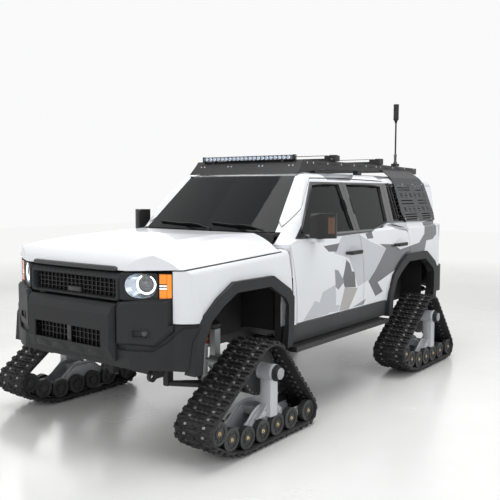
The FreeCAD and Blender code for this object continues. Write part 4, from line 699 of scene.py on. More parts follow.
def sweepForm(path, profile, up=(0, 0, 1), closed=False, scale=None, finish=0, caps=True):
    # profile point (a, b) stands at path + a * side + b * rise
    path, profile = np.array(path, float), np.array(profile, float)
    side, rise = pathFrames(path, np.array(up, float), closed)
    grow = np.ones(len(path)) if scale is None else np.array(scale, float)
    points = (path[:, None] + (grow[:, None] * profile[None, :, 0])[..., None] * side[:, None]
              + (grow[:, None] * profile[None, :, 1])[..., None] * rise[:, None])
    return gridForm(points, closed, True, caps, finish)


def circle(radius, count=12, start=0.0):
    angle = start + np.arange(count) * 2 * math.pi / count
    return np.stack([radius * np.cos(angle), radius * np.sin(angle)], axis=1)


def tubeForm(path, radius, sides=10, up=(0, 0, 1), closed=False, finish=0, scale=None):
    return sweepForm(path, circle(radius, sides), up, closed, scale, finish)


def latheForm(profile, count=32, axis="y", at=(0, 0, 0), finish=0, start=0.0):
    # profile of (radius, height) turned about the axis
    profile = np.array(profile, float)
    angle = start + np.arange(count) * 2 * math.pi / count
    ring = np.stack([np.cos(angle), np.sin(angle), np.zeros(count)], axis=1)
    points = profile[:, None, :1] * ring[None] + profile[:, None, 1:] * np.array([0, 0, 1.0])
    order = {"x": [2, 0, 1], "y": [1, 2, 0], "z": [0, 1, 2]}[axis]
    return gridForm(points[..., order] + np.array(at), finish=finish)


def insetOutline(outline, inset):
    # each corner slides along the sum of its two edges' normals, so that both edges move in by inset
    outline = np.array(outline, float)
    ahead = np.roll(outline, -1, axis=0) - outline
    ahead /= np.linalg.norm(ahead, axis=1, keepdims=True)
    normal = np.stack([-ahead[:, 1], ahead[:, 0]], axis=1)
    before = np.roll(normal, 1, axis=0)
    share = np.maximum(1 + np.einsum("ij,ij->i", normal, before), 0.35)[:, None]
    return outline + inset * (normal + before) / share


def counterClockwise(outline):
    outline = np.array(outline, float)
    nextOnes = np.roll(outline, -1, axis=0)
    area = (outline[:, 0] * nextOnes[:, 1] - nextOnes[:, 0] * outline[:, 1]).sum()
    return outline if area > 0 else outline[::-1]


def plateForm(outline, low, high, bevel=0.002, plane="xz", finish=0):
    # the outline carried from low to high, drawn in by bevel at both ends
    outline = counterClockwise(outline)
    stations = [(low, bevel), (low + bevel, 0.0), (high - bevel, 0.0), (high, bevel)]
    layers = [np.column_stack([insetOutline(outline, inset) if inset else outline,
                               np.full(len(outline), height)]) for height, inset in stations]
    order = {"xz": [0, 2, 1], "yz": [2, 0, 1]}[plane]
    return gridForm(np.array(layers)[..., order], finish=finish)


def roundedBox(width, height, radius, steps=3):
    # corners are quarter circles of the radius
    angle = np.linspace(0, math.pi / 2, steps + 1)
    corner = np.stack([np.cos(angle), np.sin(angle)], axis=1) * radius
    middle = np.array([[width / 2 - radius, height / 2 - radius]])
    quarterTurn = np.array([[0.0, 1.0], [-1.0, 0.0]])
    quarters = []
    for turn, side in enumerate(np.array([[1, 1], [-1, 1], [-1, -1], [1, -1]])):
        quarters.append(corner @ np.linalg.matrix_power(quarterTurn, turn) + middle * side)
    return np.concatenate(quarters)


def blockForm(low, high, radius=0.003, finish=0, steps=2, along="x"):
    # a rounded rectangle carried along one axis, drawn in near both ends
    low, high = np.array(low, float), np.array(high, float)
    order = {"x": [0, 1, 2], "y": [1, 2, 0], "z": [2, 0, 1]}[along]
    size = (high - low)[order]
    radius = min(radius, 0.49 * size.min())
    ease = np.linspace(0, math.pi / 2, steps + 1)
    run = np.concatenate([radius * (1 - np.cos(ease)), size[0] - radius * (1 - np.cos(ease[::-1]))])
    inset = np.concatenate([radius * (1 - np.sin(ease)), radius * (1 - np.sin(ease[::-1]))])
    layers = []
    for place, drawn in zip(run, inset):
        section = roundedBox(size[1] - 2 * drawn, size[2] - 2 * drawn, max(radius - drawn, 1e-4), steps)
        layers.append(np.column_stack([np.full(len(section), place), section + size[1:] / 2]))
    points = np.array(layers)[..., np.argsort(order)]
    return gridForm(points + low, finish=finish)


def repeated(form, turns, shifts):
    # one copy for each 3 x 3 turn and shift, all at once
    turns, shifts = np.array(turns, float), np.array(shifts, float)
    count = len(shifts)
    points = np.einsum("kij,nj->kni", turns, form.points) + shifts[:, None]
    corners = form.corners[None] + (np.arange(count) * len(form.points))[:, None]
    made = Form(points.reshape(-1, 3), corners.ravel(), np.tile(form.counts, count))
    made.finishes = np.tile(form.finishes, count)
    return made


def shifted(form, places):
    places = np.array(places, float)
    return repeated(form, np.broadcast_to(np.eye(3), (len(places), 3, 3)), places)


def mirrored(form):
    made = Form(form.points * np.array([1, -1, 1.0]), form.corners, form.counts)
    made.finishes = form.finishes
    return reversedFaces(made)


def readPoints(mesh):
    flat = np.empty(len(mesh.vertices) * 3, dtype=np.float32)
    mesh.vertices.foreach_get("co", flat)
    return flat.reshape(-1, 3).astype(float)


def writePoints(mesh, points):
    mesh.vertices.foreach_set("co", points.astype(np.float32).ravel())
    mesh.update()


def piece(name, body, forms, looks, slot=None, replaces=(), smooth=38.0):
    # one object at the origin from its forms; looks lists the finishes that the faces' numbers mean
    form = joined(forms)
    mesh = bpy.data.meshes.new(name)
    mesh.vertices.add(len(form.points))
    mesh.vertices.foreach_set("co", form.points.astype(np.float32).ravel())
    mesh.loops.add(len(form.corners))
    mesh.loops.foreach_set("vertex_index", form.corners.astype(np.int32))
    mesh.polygons.add(len(form.counts))
    mesh.polygons.foreach_set("loop_start", (np.cumsum(form.counts) - form.counts).astype(np.int32))
    mesh.polygons.foreach_set("material_index", form.finishes)
    for look in looks:
        mesh.materials.append(finishes[look])
    mesh.update(calc_edges=True)
    mesh.shade_smooth()
    mesh.set_sharp_from_angle(angle=math.radians(smooth))
    made = bpy.data.objects.new(name, mesh)
    scene.collection.objects.link(made)
    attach(made, body)
    if replaces:
        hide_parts(*replaces)
    return made


def bothSides(name, body, forms, looks, **more):
    # the left piece and its mirror image, on the vehicle or on the body of that side
    left = joined(forms)
    for side, form in (("left", left), ("right", mirrored(left))):
        piece(f"{name}_{side}", body if body == "vehicle" else f"{body}_{side}", [form], looks, **more)
castTrees = {}


def castOn(members, starts, direction, lift=0.0):
    # first hit of each parallel ray on the named nodes, raised by lift along the face's normal
    if members not in castTrees:
        points, corners, shift = [], [], 0
        for member in members:
            mesh = nodes[member].data
            triangles = np.empty(len(mesh.polygons) * 3, dtype=np.int32)
            mesh.polygons.foreach_get("vertices", triangles)
            points.append(readPoints(mesh))
            corners.append(triangles.reshape(-1, 3) + shift)
            shift += len(mesh.vertices)
        castTrees[members] = BVHTree.FromPolygons(np.concatenate(points).tolist(),
                                                  np.concatenate(corners).tolist())
    hits = []
    for start in starts:
        place, normal = castTrees[members].ray_cast(Vector(start), Vector(direction))[:2]
        if place is not None:
            normal = -normal if normal.dot(Vector(direction)) > 0 else normal
            hits.append(place + normal * lift)
    return np.array(hits, float)


def evenly3(points, count):
    # the same line in equal steps of its own length
    points = np.array(points, float)
    length = np.concatenate([[0], np.cumsum(np.linalg.norm(np.diff(points, axis=0), axis=1))])
    along = np.linspace(0, length[-1], count)
    return np.column_stack([np.interp(along, length, points[:, axis]) for axis in range(3)])


def ringForm(outlines, finish=0):
    # closed loops of one point count joined in a ring: outside back and front, inside front and back
    return gridForm(np.array(outlines, float), closeRows=True, finish=finish)


def ovalLoop(halfWidth, halfHeight, power, count):
    # superellipse: |x/w|^p + |z/h|^p = 1
    angle = np.arange(count) * 2 * math.pi / count
    cosine, sine = np.cos(angle), np.sin(angle)
    return np.column_stack([halfWidth * np.sign(cosine) * np.abs(cosine) ** (2 / power),
                            halfHeight * np.sign(sine) * np.abs(sine) ** (2 / power)])

# track units: wheels are (distance ahead of the axle, height, radius); the belt runs round them
track = {
    "hub": 0.526, "sprocket": 0.186, "wheel": 0.080, "belt": 0.016, "lug": 0.026, "width": 0.330,
    "middle": 1.002,
    "pitches": 48,
    "wheels": [(-0.490, 0.124), (-0.257, 0.124), (-0.077, 0.124), (0.102, 0.124), (0.280, 0.124),
               (0.454, 0.160),
               (0.585, 0.236)],
}


def beltLoop(offset):
    # straight runs touch neighbouring circles; the touching normal leans from the line of centres by
    # the angle whose cosine is the difference of radii over the distance
    rings = [(0.0, track["hub"], track["sprocket"])] + [(x, z, track["wheel"]) for x, z in track["wheels"]]
    ahead = rings[1:] + rings[:1]
    normals = []
    for (ax, az, ar), (bx, bz, br) in zip(rings, ahead):
        run = math.hypot(bx - ax, bz - az)
        normals.append(math.atan2(bz - az, bx - ax) - math.acos((ar - br) / run))
    points = []
    for index, (cx, cz, radius) in enumerate(rings):
        start, turn = normals[index - 1], (normals[index] - normals[index - 1]) % (2 * math.pi)
        turn = 0.0 if turn > 1.5 * math.pi else turn
        angle = start + turn * np.linspace(0, 1, max(2, int(turn / 0.08)))
        points.append(np.column_stack([cx + (radius + offset) * np.cos(angle),
                                       cz + (radius + offset) * np.sin(angle)]))
    return np.concatenate(points)


def evenly(loop, count, phase=0.0):
    # points at equal distances along the closed loop, with the outward normal of each
    closed = np.concatenate([loop, loop[:1]])
    keep = np.concatenate([[True], np.linalg.norm(np.diff(closed, axis=0), axis=1) > 1e-6])
    closed = closed[keep]
    along = np.concatenate([[0], np.cumsum(np.linalg.norm(np.diff(closed, axis=0), axis=1))])
    place = (np.arange(count) + phase) / count * along[-1]
    found = np.column_stack([np.interp(place, along, closed[:, axis]) for axis in (0, 1)])
    ahead = np.column_stack([np.interp((place + 0.004) % along[-1], along,
                                       closed[:, axis]) for axis in (0, 1)])
    behind = np.column_stack([np.interp((place - 0.004) % along[-1], along,
                                        closed[:, axis]) for axis in (0, 1)])
    tangent = ahead - behind
    tangent /= np.linalg.norm(tangent, axis=1, keepdims=True)
    normal = np.column_stack([tangent[:, 1], -tangent[:, 0]])
    centre = loop.mean(axis=0)
    if (normal * (found - centre)).sum() < 0:
        normal = -normal
    return found, tangent, normal


def beltTurns(tangent, normal):
    # local x runs along the belt, y across it and z outwards
    turns = np.zeros((len(tangent), 3, 3))
    turns[:, 0, 0], turns[:, 2, 0] = tangent[:, 0], tangent[:, 1]
    turns[:, 0, 2], turns[:, 2, 2] = normal[:, 0], normal[:, 1]
    turns[:, 1, 1] = np.sign(turns[:, 0, 0] * turns[:, 2, 2] - turns[:, 0, 2] * turns[:, 2, 0])
    return turns


def onBelt(form, loop, count, phase, across=(0.0,)):
    found, tangent, normal = evenly(loop, count, phase)
    turns = beltTurns(tangent, normal)
    made = []
    for offset in across:
        places = np.column_stack([found[:, 0], np.full(count, offset), found[:, 1]])
        made.append(outward(repeated(form, turns, places)))
    return made


def treadBar(reach, halfWidth, height, scallop, finish=0):
    # a bar across part of the belt: a trapezium section whose top rises and dips along its length
    stations = 13
    share = np.linspace(-1, 1, stations)
    top = height * (1 - scallop * (0.5 - 0.5 * np.cos(share * math.pi * 3)))
    top[[0, -1]] = height * 0.35
    base = np.array([[-0.5, 0.0], [-0.34, 1.0], [0.34, 1.0], [0.5, 0.0]])
    lean = halfWidth * (1 - 0.12 * np.abs(share))
    points = np.zeros((stations, 4, 3))
    points[..., 0] = base[None, :, 0] * lean[:, None] * 2
    points[..., 1] = (share * reach)[:, None]
    points[..., 2] = base[None, :, 1] * top[:, None] - 0.002
    return gridForm(points, finish=finish)


def buildBelt():
    middle, half = track["middle"], track["width"] / 2
    loop = beltLoop(0.0)
    outside = beltLoop(track["belt"])
    found, _, normal = evenly(loop, 576)
    # carcass: flat outside with a shallow groove between the lug columns, rounded shoulders
    section = np.array([
        (-half, 0.003), (-half + 0.006, 0.0), (half - 0.006, 0.0), (half, 0.003), (half, 0.013),
        (half - 0.004, 0.016),
        (0.095, 0.016), (0.091, 0.012), (0.071, 0.012), (0.067, 0.016),
        (-0.067, 0.016), (-0.071, 0.012), (-0.091, 0.012), (-0.095, 0.016), (-half + 0.004, 0.016),
        (-half, 0.013),
    ])
    centre = np.column_stack([found[:, 0], np.full(len(found), middle), found[:, 1]])
    out = np.column_stack([normal[:, 0], np.zeros(len(found)), normal[:, 1]])
    points = centre[:, None] + section[None, :, 1:] * out[:, None] + section[None, :,
                                                                             :1] * np.array([0, 1.0, 0])
    forms = [gridForm(points, closeRows=True)]
    pitches = track["pitches"]
    centreBar = treadBar(0.062, 0.0105, track["lug"], 0.30)
    edgeBar = treadBar(0.0335, 0.0115, track["lug"] * 0.92, 0.25)
    forms += onBelt(centreBar, outside, pitches, 0.0, (middle,))
    forms += onBelt(edgeBar, outside, pitches, 0.0, (middle - half + 0.036, middle + half - 0.036))
    # low paddles between the bars, a half pitch on
    paddle = treadBar(0.026, 0.007, 0.011, 0.1)
    forms += onBelt(paddle, outside, pitches, 0.5, (middle - 0.034, middle + 0.034, middle - half + 0.040,
                                                  middle + half - 0.040))
    knob = blockForm((-0.010, -0.008, -0.001), (0.010, 0.008, 0.014), 0.003, steps=1)
    forms += onBelt(knob, outside, pitches, 0.25, (middle, middle - half + 0.010, middle + half - 0.010))
    # drive lugs on the inside
    drive = blockForm((-0.013, -0.011, -0.024), (0.013, 0.011, 0.002), 0.005, steps=1)
    forms += onBelt(drive, loop, pitches, 0.0, (middle - 0.052, middle + 0.052))
    # windows show as dark slots: thin dark plates on the carcass, painted shade standing for holes; bright
    # clips fold over the carcass beside them
    clip = blockForm((-0.0085, -0.011, -0.0185), (0.0085, 0.011, 0.0035), 0.002, finish=1, steps=1)
    forms += onBelt(clip, outside, pitches, 0.5, (middle - 0.081, middle + 0.081))
    window = blockForm((-0.012, -0.0085, -0.0005), (0.012, 0.0085, 0.0012), 0.001, finish=2, steps=1)
    forms += onBelt(window, outside, pitches, 0.0, (middle - 0.081, middle + 0.081))
    return joined(forms)


def evenRun(path, count):
    # the same line with evenly spaced, lightly rounded points
    found = evenly3(path, count)
    for _ in range(3):
        found[1:-1] = (found[:-2] + 2 * found[1:-1] + found[2:]) / 4
    return found


def boltHead(radius, height, finish=0):
    return latheForm([(radius * 0.2, 0.0), (radius, 0.0), (radius, height * 0.75), (radius * 0.86, height),
                      (radius * 0.2, height)], 6, "y", finish=finish)


def buildWheelDetail():
    # per wheel: rim lip, dished web ribs, hub cap ring, plated centre bolt
    forms = []
    face = 1.147
    for x, z in track["wheels"]:
        forms.append(latheForm([(0.0815, -0.008), (0.0815, -0.001), (0.078, 0.0006), (0.071, 0.0),
                                (0.068, -0.006),
                                (0.068, -0.009)], 36, at=(x, face, z)))
        forms.append(latheForm([(0.033, -0.010), (0.033, -0.004), (0.030, -0.001), (0.012, 0.0005),
                                (0.0115, -0.002),
                                (0.0115, -0.010)], 24, at=(x, face, z)))
        angle = np.arange(9) * 2 * math.pi / 9
        rib = blockForm((0.034, -0.009, -0.0028), (0.068, -0.0045, 0.0028), 0.002, steps=1)
        turns = np.zeros((9, 3, 3))
        turns[:, 0, 0], turns[:, 0, 2] = np.cos(angle), -np.sin(angle)
        turns[:, 2, 0], turns[:, 2, 2] = np.sin(angle), np.cos(angle)
        turns[:, 1, 1] = 1
        forms.append(repeated(rib, turns, np.tile([x, face, z], (9, 1))))
        forms.append(latheForm([(0.003, 0.0), (0.0135, 0.0), (0.0135, 0.0025), (0.0115, 0.004),
                                (0.003, 0.004)], 20,
                               at=(x, face - 0.001, z), finish=1))
        forms.append(moved(boltHead(0.0085, 0.008, 1), to=(x, face + 0.002, z)))
    return joined(forms)


def buildFrameDetail():
    hub, face = track["hub"], 1.165
    forms = []
    # bearing housing: two cast collars, black seal with bolt lugs, dark cap with a grey end plate
    for start, end, radius in ((1.046, 1.066, 0.0605), (1.150, 1.180, 0.0615)):
        forms.append(latheForm([(0.050, start), (radius - 0.002, start), (radius, start + 0.003),
                                (radius, end - 0.003), (radius - 0.002, end), (0.050, end)], 44,
                               at=(0, 0, hub)))
    forms.append(latheForm([(0.040, 1.1835), (0.0575, 1.1835), (0.0585, 1.186), (0.0585, 1.192),
                            (0.056, 1.1945),
                            (0.040, 1.1945)], 40, at=(0, 0, hub), finish=1))
    angle = (np.arange(6) + 0.5) * math.pi / 3
    lug = latheForm([(0.002, 0.0), (0.0095, 0.0), (0.0095, 0.011), (0.0075, 0.0125), (0.002, 0.0125)], 14,
                    finish=1)
    forms.append(shifted(lug, np.column_stack([0.0515 * np.cos(angle), np.full(6, 1.1835),
                                               hub + 0.0515 * np.sin(angle)])))
    forms.append(latheForm([(0.030, 1.184), (0.0425, 1.184), (0.0425, 1.221), (0.0405, 1.2245),
                            (0.034, 1.2255),
                            (0.030, 1.2255)], 40, at=(0, 0, hub), finish=1))
    forms.append(latheForm([(0.002, 1.2235), (0.036, 1.2235), (0.036, 1.2268), (0.034, 1.2278),
                            (0.002, 1.2278)], 36,
                           at=(0, 0, hub), finish=2))
    # post: folded plate edges down both faces, weld bead at its foot
    for x in (-0.0435, 0.0435):
        forms.append(blockForm((x - 0.0022, 1.084, 0.225), (x + 0.0022, face + 0.0022, hub - 0.052), 0.002))
    weld = [(-0.046, face - 0.001, 0.2135), (-0.02, face + 0.0005, 0.2125), (0.02, face + 0.0005, 0.2125),
            (0.046, face - 0.001, 0.2135)]
    forms.append(tubeForm(weld, 0.004, 8, finish=0))
    # arch flange that stands out along the outer plate's top edge, and the same on the inner plate
    arc = [(-0.515, 0.139), (-0.34, 0.139), (-0.262, 0.151), (-0.196, 0.189), (-0.150, 0.231),
           (-0.084, 0.272),
           (0.084, 0.272), (0.150, 0.231), (0.196, 0.189), (0.262, 0.157), (0.34, 0.155), (0.465, 0.169)]
    for y in (1.0815, 0.922):
        forms.append(sweepForm(evenRun([(x, y, z) for x, z in arc], 60), roundedBox(0.046, 0.006, 0.002, 2),
                               up=(0, 1, 0)))
    # gusset webs from the post down to the arch
    for side in (-1, 1):
        gusset = [(side * 0.042, 0.330), (side * 0.050, 0.296), (side * 0.088, 0.262),
                  (side * 0.140, 0.2175),
                  (side * 0.042, 0.2175)]
        forms.append(plateForm(gusset, 1.128, 1.136, 0.002))
    foot = [(-0.100, 0.232), (0.100, 0.232), (-0.062, 0.262), (0.062, 0.262)]
    forms.append(shifted(boltHead(0.007, 0.005, 3), [(x, 1.1355, z) for x, z in foot]))
    return joined(forms)


def buildSprocketDetail():
    # bright rim strip and the drive pins' ends
    hub = track["hub"]
    face = 1.0355
    forms = [latheForm([(0.158, face), (0.181, face), (0.1825, face + 0.002), (0.181, face + 0.004),
                        (0.158, face + 0.004)], 60, at=(0, 0, hub))]
    angle = np.arange(24) * 2 * math.pi / 24
    forms.append(shifted(boltHead(0.006, 0.004, 1),
                         np.column_stack([0.170 * np.cos(angle), np.full(24, face + 0.003),
                                                                   hub + 0.170 * np.sin(angle)])))
    return joined(forms)


beltForm, wheelForm = buildBelt(), buildWheelDetail()
frameForm, sprocketForm = buildFrameDetail(), buildSprocketDetail()
units = [("front", "left", frontAxle, "front_left_track"),
         ("front", "right", frontAxle, "front_right_track"),
         ("rear", "left", rearAxle, "vehicle"), ("rear", "right", rearAxle, "vehicle")]
for end, side, axle, body in units:
    label = f"{end}_{side}_track"

    def there(form):
        form = moved(form, to=(axle, 0, 0))
        return form if side == "left" else mirrored(form)

    replaced = [f"{label}_belt"] if end == "front" else ["rear_track_belts"] if side == "left" else []
    piece(f"{label}_tread", body, [there(beltForm)], ["rubber", "clip", "seal"], "track_rubber", replaced)
    piece(f"{label}_roller_fittings", body, [there(wheelForm)], ["wheelPlastic", "gold"], "wheel_plastic")
    piece(f"{label}_frame_fittings", body, [there(frameForm)], ["trackPaint", "seal", "castMetal", "steel"],
          "track_paint")
    piece(f"{label}_sprocket_fittings", body, [there(sprocketForm)], ["sprocket", "steel"],
          "sprocket_plastic")
print("track units dressed,", len(beltForm.counts), "faces in each belt")
# nose: trim bar, grille, bumper mesh, fog lamps
nose = {"trimX": 2.386, "trimZ": 1.287, "trimHalf": 0.458, "grilleX": 2.398, "grilleHalf": 0.482,
        "grilleLow": 1.064, "grilleHigh": 1.262, "meshX": 2.372, "columns": 20, "rows": 4,
        "lowMeshX": 2.428, "lowMeshHalf": 0.362, "lowMeshLow": 0.746, "lowMeshHigh": 0.870}


def rectLoop(halfWidth, low, high, radius, count=3):
    loop = roundedBox(2 * halfWidth, high - low, radius, count)
    return loop + np.array([0.0, (low + high) / 2])


def standing(loop, x):
    return np.column_stack([np.full(len(loop), x), loop])


def meshBars(x, left, right, low, high, columns, rows, wide=0.0052, deep=0.020, finish=0):
    # upright and level bars of a grille, each a rounded box
    forms = []
    pitch = (right - left) / columns
    upright = blockForm((x - deep, -wide / 2, low), (x, wide / 2, high), 0.0015, finish, 1)
    places = [(0, left + pitch * step, 0) for step in range(1, columns)]
    forms.append(shifted(upright, places))
    rise = (high - low) / rows
    level = blockForm((x - deep + 0.002, left, -wide / 2), (x + 0.0015, right, wide / 2), 0.0015, finish, 1)
    forms.append(shifted(level, [(0, 0, low + rise * step) for step in range(1, rows)]))
    return forms


def buildTrimBar():
    end = nose["trimHalf"]
    across = np.concatenate([-end + 0.03 * (1 - np.cos(np.linspace(0, math.pi / 2, 6))),
                             np.linspace(-0.40, 0.40, 15),
                             end - 0.03 * (1 - np.cos(np.linspace(math.pi / 2, 0, 6)))])
    ease = np.clip((end - np.abs(across)) / 0.03, 0.02, 1)
    scale = np.sqrt(1 - (1 - ease) ** 2)
    bow = nose["trimX"] + 0.008 - 0.055 * across ** 2
    return sweepForm(np.column_stack([bow, across, np.full(len(across), nose["trimZ"])]),
                     roundedBox(0.040, 0.036, 0.0165, 6), scale=scale)


def buildSurround():
    # outline loops from the back, round the front bevels, to the opening's back
    x, half, low, high = nose["grilleX"], nose["grilleHalf"], nose["grilleLow"], nose["grilleHigh"]
    loops = [
        standing(rectLoop(half - 0.002, low + 0.002, high - 0.002, 0.020), x - 0.055),
        standing(rectLoop(half, low, high, 0.022), x - 0.020),
        standing(rectLoop(half - 0.003, low + 0.003, high - 0.008, 0.020), x - 0.008),
        standing(rectLoop(half - 0.016, low + 0.012, high - 0.034, 0.016), x + 0.006),
        standing(rectLoop(half - 0.034, low + 0.022, high - 0.042, 0.014), x + 0.004),
        standing(rectLoop(half - 0.038, low + 0.026, high - 0.046, 0.012), x - 0.002),
        standing(rectLoop(half - 0.044, low + 0.030, high - 0.050, 0.010), x - 0.052),
    ]
    forms = [ringForm(loops)]
    # a row of small dark oval plates under the top edge: painted shade standing for holes
    slant = math.degrees(math.atan2(0.014, 0.026))
    holeShade = plateForm(ovalLoop(0.0105, 0.0062, 2.2, 14), 0.0, 0.0022, 0.0006, "yz", 1)
    holeShade = moved(holeShade, turn=(24, 0, 0))
    holeShade = moved(holeShade, turn=(0, -slant, 0))
    step = np.linspace(-0.435, 0.435, 20)
    places = np.column_stack([np.full(20, x - 0.0015), step, np.full(20, high - 0.0205)])
    forms.append(shifted(holeShade, places))
    return forms


def buildGrilleCore():
    half, low, high = nose["grilleHalf"] - 0.042, nose["grilleLow"] + 0.028, nose["grilleHigh"] - 0.048
    x = nose["meshX"]
    forms = meshBars(x, -half, half, low, high, nose["columns"], nose["rows"])
    # dark sheet behind the bars: painted shade filling the openings, in front of the radiator
    forms.append(blockForm((x - 0.034, -half - 0.004, low - 0.004), (x - 0.030, half + 0.004, high + 0.004),
                           0.001, 1))
    forms.append(blockForm((x - 0.012, -0.074, low + 0.001), (x + 0.013, 0.074, low + 0.042), 0.005, 2, 3))
    forms.append(blockForm((x + 0.012, -0.062, low + 0.007), (x + 0.0145, 0.062, low + 0.036), 0.001, 3, 2))
    return forms


def buildLowMesh():
    x, half = nose["lowMeshX"], nose["lowMeshHalf"]
    low, high = nose["lowMeshLow"], nose["lowMeshHigh"]
    forms = meshBars(x, -half, -0.022, low, high, 8, 3) + meshBars(x, 0.022, half, low, high, 8, 3)
    forms.append(blockForm((x - 0.030, -0.022, low), (x + 0.010, 0.022, high), 0.003, 0, 2))
    frame = [standing(rectLoop(half + grow, low - grow, high + grow, 0.006), x + out)
             for grow, out in ((0.006, -0.02), (0.006, 0.028), (0.001, 0.0315), (-0.004, 0.028),
                               (-0.006, -0.02))]
    forms.append(ringForm(frame))
    # dark sheet behind the bars: painted shade filling the opening
    forms.append(blockForm((x - 0.050, -half, low), (x - 0.045, half, high), 0.001, 1))
    return forms


def buildRadiator():
    # fin pack behind the openings
    forms = [blockForm((2.262, -0.43, 0.735), (2.286, 0.43, 1.235), 0.003)]
    fin = blockForm((2.286, -0.425, -0.0012), (2.291, 0.425, 0.0012), 0.0006, 1, 1)
    forms.append(shifted(fin, [(0, 0, z) for z in np.arange(0.745, 1.23, 0.012)]))
    for y in (-0.44, 0.44):
        forms.append(blockForm((2.256, y - 0.018, 0.725), (2.296, y + 0.018, 1.240), 0.008))
    return forms


piece("bonnet_trim_bar", "bonnet", [buildTrimBar()], ["charcoalGloss"], "charcoal_plastic")
piece("grille_surround", "vehicle", buildSurround(), ["charcoal", "seal"], "charcoal_plastic", ["grille"])
piece("grille_mesh", "vehicle", buildGrilleCore(), ["glossBlack", "seal", "blackPlastic", "glossBlack"],
      "charcoal_plastic")
piece("lower_mesh", "vehicle", buildLowMesh(), ["glossBlack", "seal"], "charcoal_plastic")
piece("radiator_core", "vehicle", buildRadiator(), ["blackPlastic", "steelDark"], "frame_metal")

# fog lamp: frame round the recess, dark liner, small lamp towards the outside
fog = {"low": (0.578, 0.836), "high": (0.696, 0.892), "lamp": (0.660, 0.865), "depth": 0.041,
       "facing": 24.7}


def podX(y):
    return 2.4445 - (y - 0.460) * 0.46


def onPod(loop, out):
    return np.column_stack([podX(loop[:, 0]) + out, loop])


def buildFog():
    middle = np.array([(fog["low"][0] + fog["high"][0]) / 2, (fog["low"][1] + fog["high"][1]) / 2])
    wide, tall = fog["high"][0] - fog["low"][0], fog["high"][1] - fog["low"][1]
    loops = []
    for grow, out in ((0.005, -0.004), (0.004, 0.0045), (-0.002, 0.006), (-0.006, 0.002), (-0.007, -0.036),
                      (-0.001, -0.038)):
        loops.append(onPod(roundedBox(wide + 2 * grow, tall + 2 * grow, 0.012, 4) + middle, out))
    forms = [ringForm(loops)]
    y, z = fog["lamp"]
    centre = (podX(y), y, z)
    bowl = [(0.002, -0.036), (0.017, -0.036), (0.0225, -0.014), (0.0225, -0.010), (0.0195, -0.009),
            (0.0175, -0.012), (0.009, -0.026), (0.002, -0.028)]
    lens = [(0.002, -0.018), (0.0185, -0.0165), (0.0185, -0.0135), (0.014, -0.009), (0.007, -0.007),
            (0.002, -0.0065)]
    for profile, finish in ((bowl, 1), (lens, 2)):
        part = moved(latheForm(profile, 28, "x", finish=finish), turn=(0, 0, fog["facing"]))
        forms.append(moved(part, to=centre))
    back = roundedBox(wide - 0.004, tall - 0.004, 0.010, 4) + middle
    forms.append(gridForm(np.array([onPod(back, -fog["depth"]), onPod(back, -fog["depth"] + 0.004)]),
                          finish=3))
    return forms


bothSides("fog_lamp", "vehicle", buildFog(), ["charcoal", "steelDark", "clearLens", "seal"],
          slot="charcoal_plastic")


def buildBumperLines():
    # panel joints: raised lips of the middle insert, laid on the bumper's own face
    forms = []
    seams = [[(-0.448, 0.886), (-0.366, 0.888), (-0.366, 0.876)],
             [(0.366, 0.876), (0.366, 0.888), (0.448, 0.886)],
             [(-0.374, 0.742), (-0.380, 0.700), (-0.392, 0.670)],
             [(0.374, 0.742), (0.380, 0.700), (0.392, 0.670)]]
    for seam in seams:
        line = evenly3([(2.6, y, z) for y, z in seam], 16)
        hits = castOn(("front_bumper",), line, (-1, 0, 0), -0.0006)
        forms.append(tubeForm(hits, 0.0021, 6, up=(1, 0, 0.02)))
    return forms


def buildScallops():
    # shallow raised scales on the valance: half-round outline, thickness fading to the edge
    forms = []
    grid = np.linspace(0, 1, 7)
    for middle in (-0.285, -0.095, 0.095, 0.285):
        angle = np.linspace(0, math.pi, 22)
        rim = np.column_stack([middle + 0.084 * np.cos(angle), 0.690 + 0.052 * np.sin(angle)])
        rim = np.concatenate([rim, [(middle - 0.078, 0.682), (middle, 0.680), (middle + 0.078, 0.682)]])
        centre = np.array([middle, 0.700])
        rows = []
        for share in grid:
            loop = centre + (rim - centre) * (1 - 0.985 * share)
            line = [(2.6, y, z) for y, z in loop]
            lift = 0.009 * math.sin(min(share * 1.6, 1.0) * math.pi / 2)
            rows.append(castOn(("front_bumper",), line, (-1, 0, 0), lift - 0.0008))
        if min(len(row) for row in rows) == len(rim):
            back = rows[0] - np.array([0.006, 0, 0])
            forms.append(gridForm(np.array([back] + rows)))
    return forms


piece("bumper_joints", "vehicle", buildBumperLines(), ["seal"], "charcoal_plastic")
piece("valance_scales", "vehicle", buildScallops(), ["charcoal"], "charcoal_plastic", smooth=60.0)
print("nose dressed")

# head lamps: bezel with an oval window, bowl, light ring open at the top, projector, outer lens
lamp = {"centre": (2.3385, 0.616, 1.180), "facing": 26.57, "halfWidth": 0.121, "halfHeight": 0.087,
        "ring": (0.036, 0.010), "ringRadius": 0.062, "bezelLow": 1.080, "bezelHigh": 1.268,
        "bezelMiddle": -0.0095, "bezelHalf": 0.136}


def lampPoints(loop, out):
    # a loop in the plane that looks forwards and facing degrees outwards, standing out by the given depth
    turn, centre, loop = math.radians(lamp["facing"]), lamp["centre"], np.array(loop, float)
    return np.column_stack([centre[0] - loop[:, 0] * math.sin(turn) + out * math.cos(turn),
                            centre[1] + loop[:, 0] * math.cos(turn) + out * math.sin(turn),
                            centre[2] + loop[:, 1]])


def turnedLamp(form, across, rise, out):
    # a form built looking along +x is set into the lamp's own plane
    form = moved(form, turn=(0, 0, lamp["facing"]))
    return moved(form, to=lampPoints([(across, rise)], out)[0])


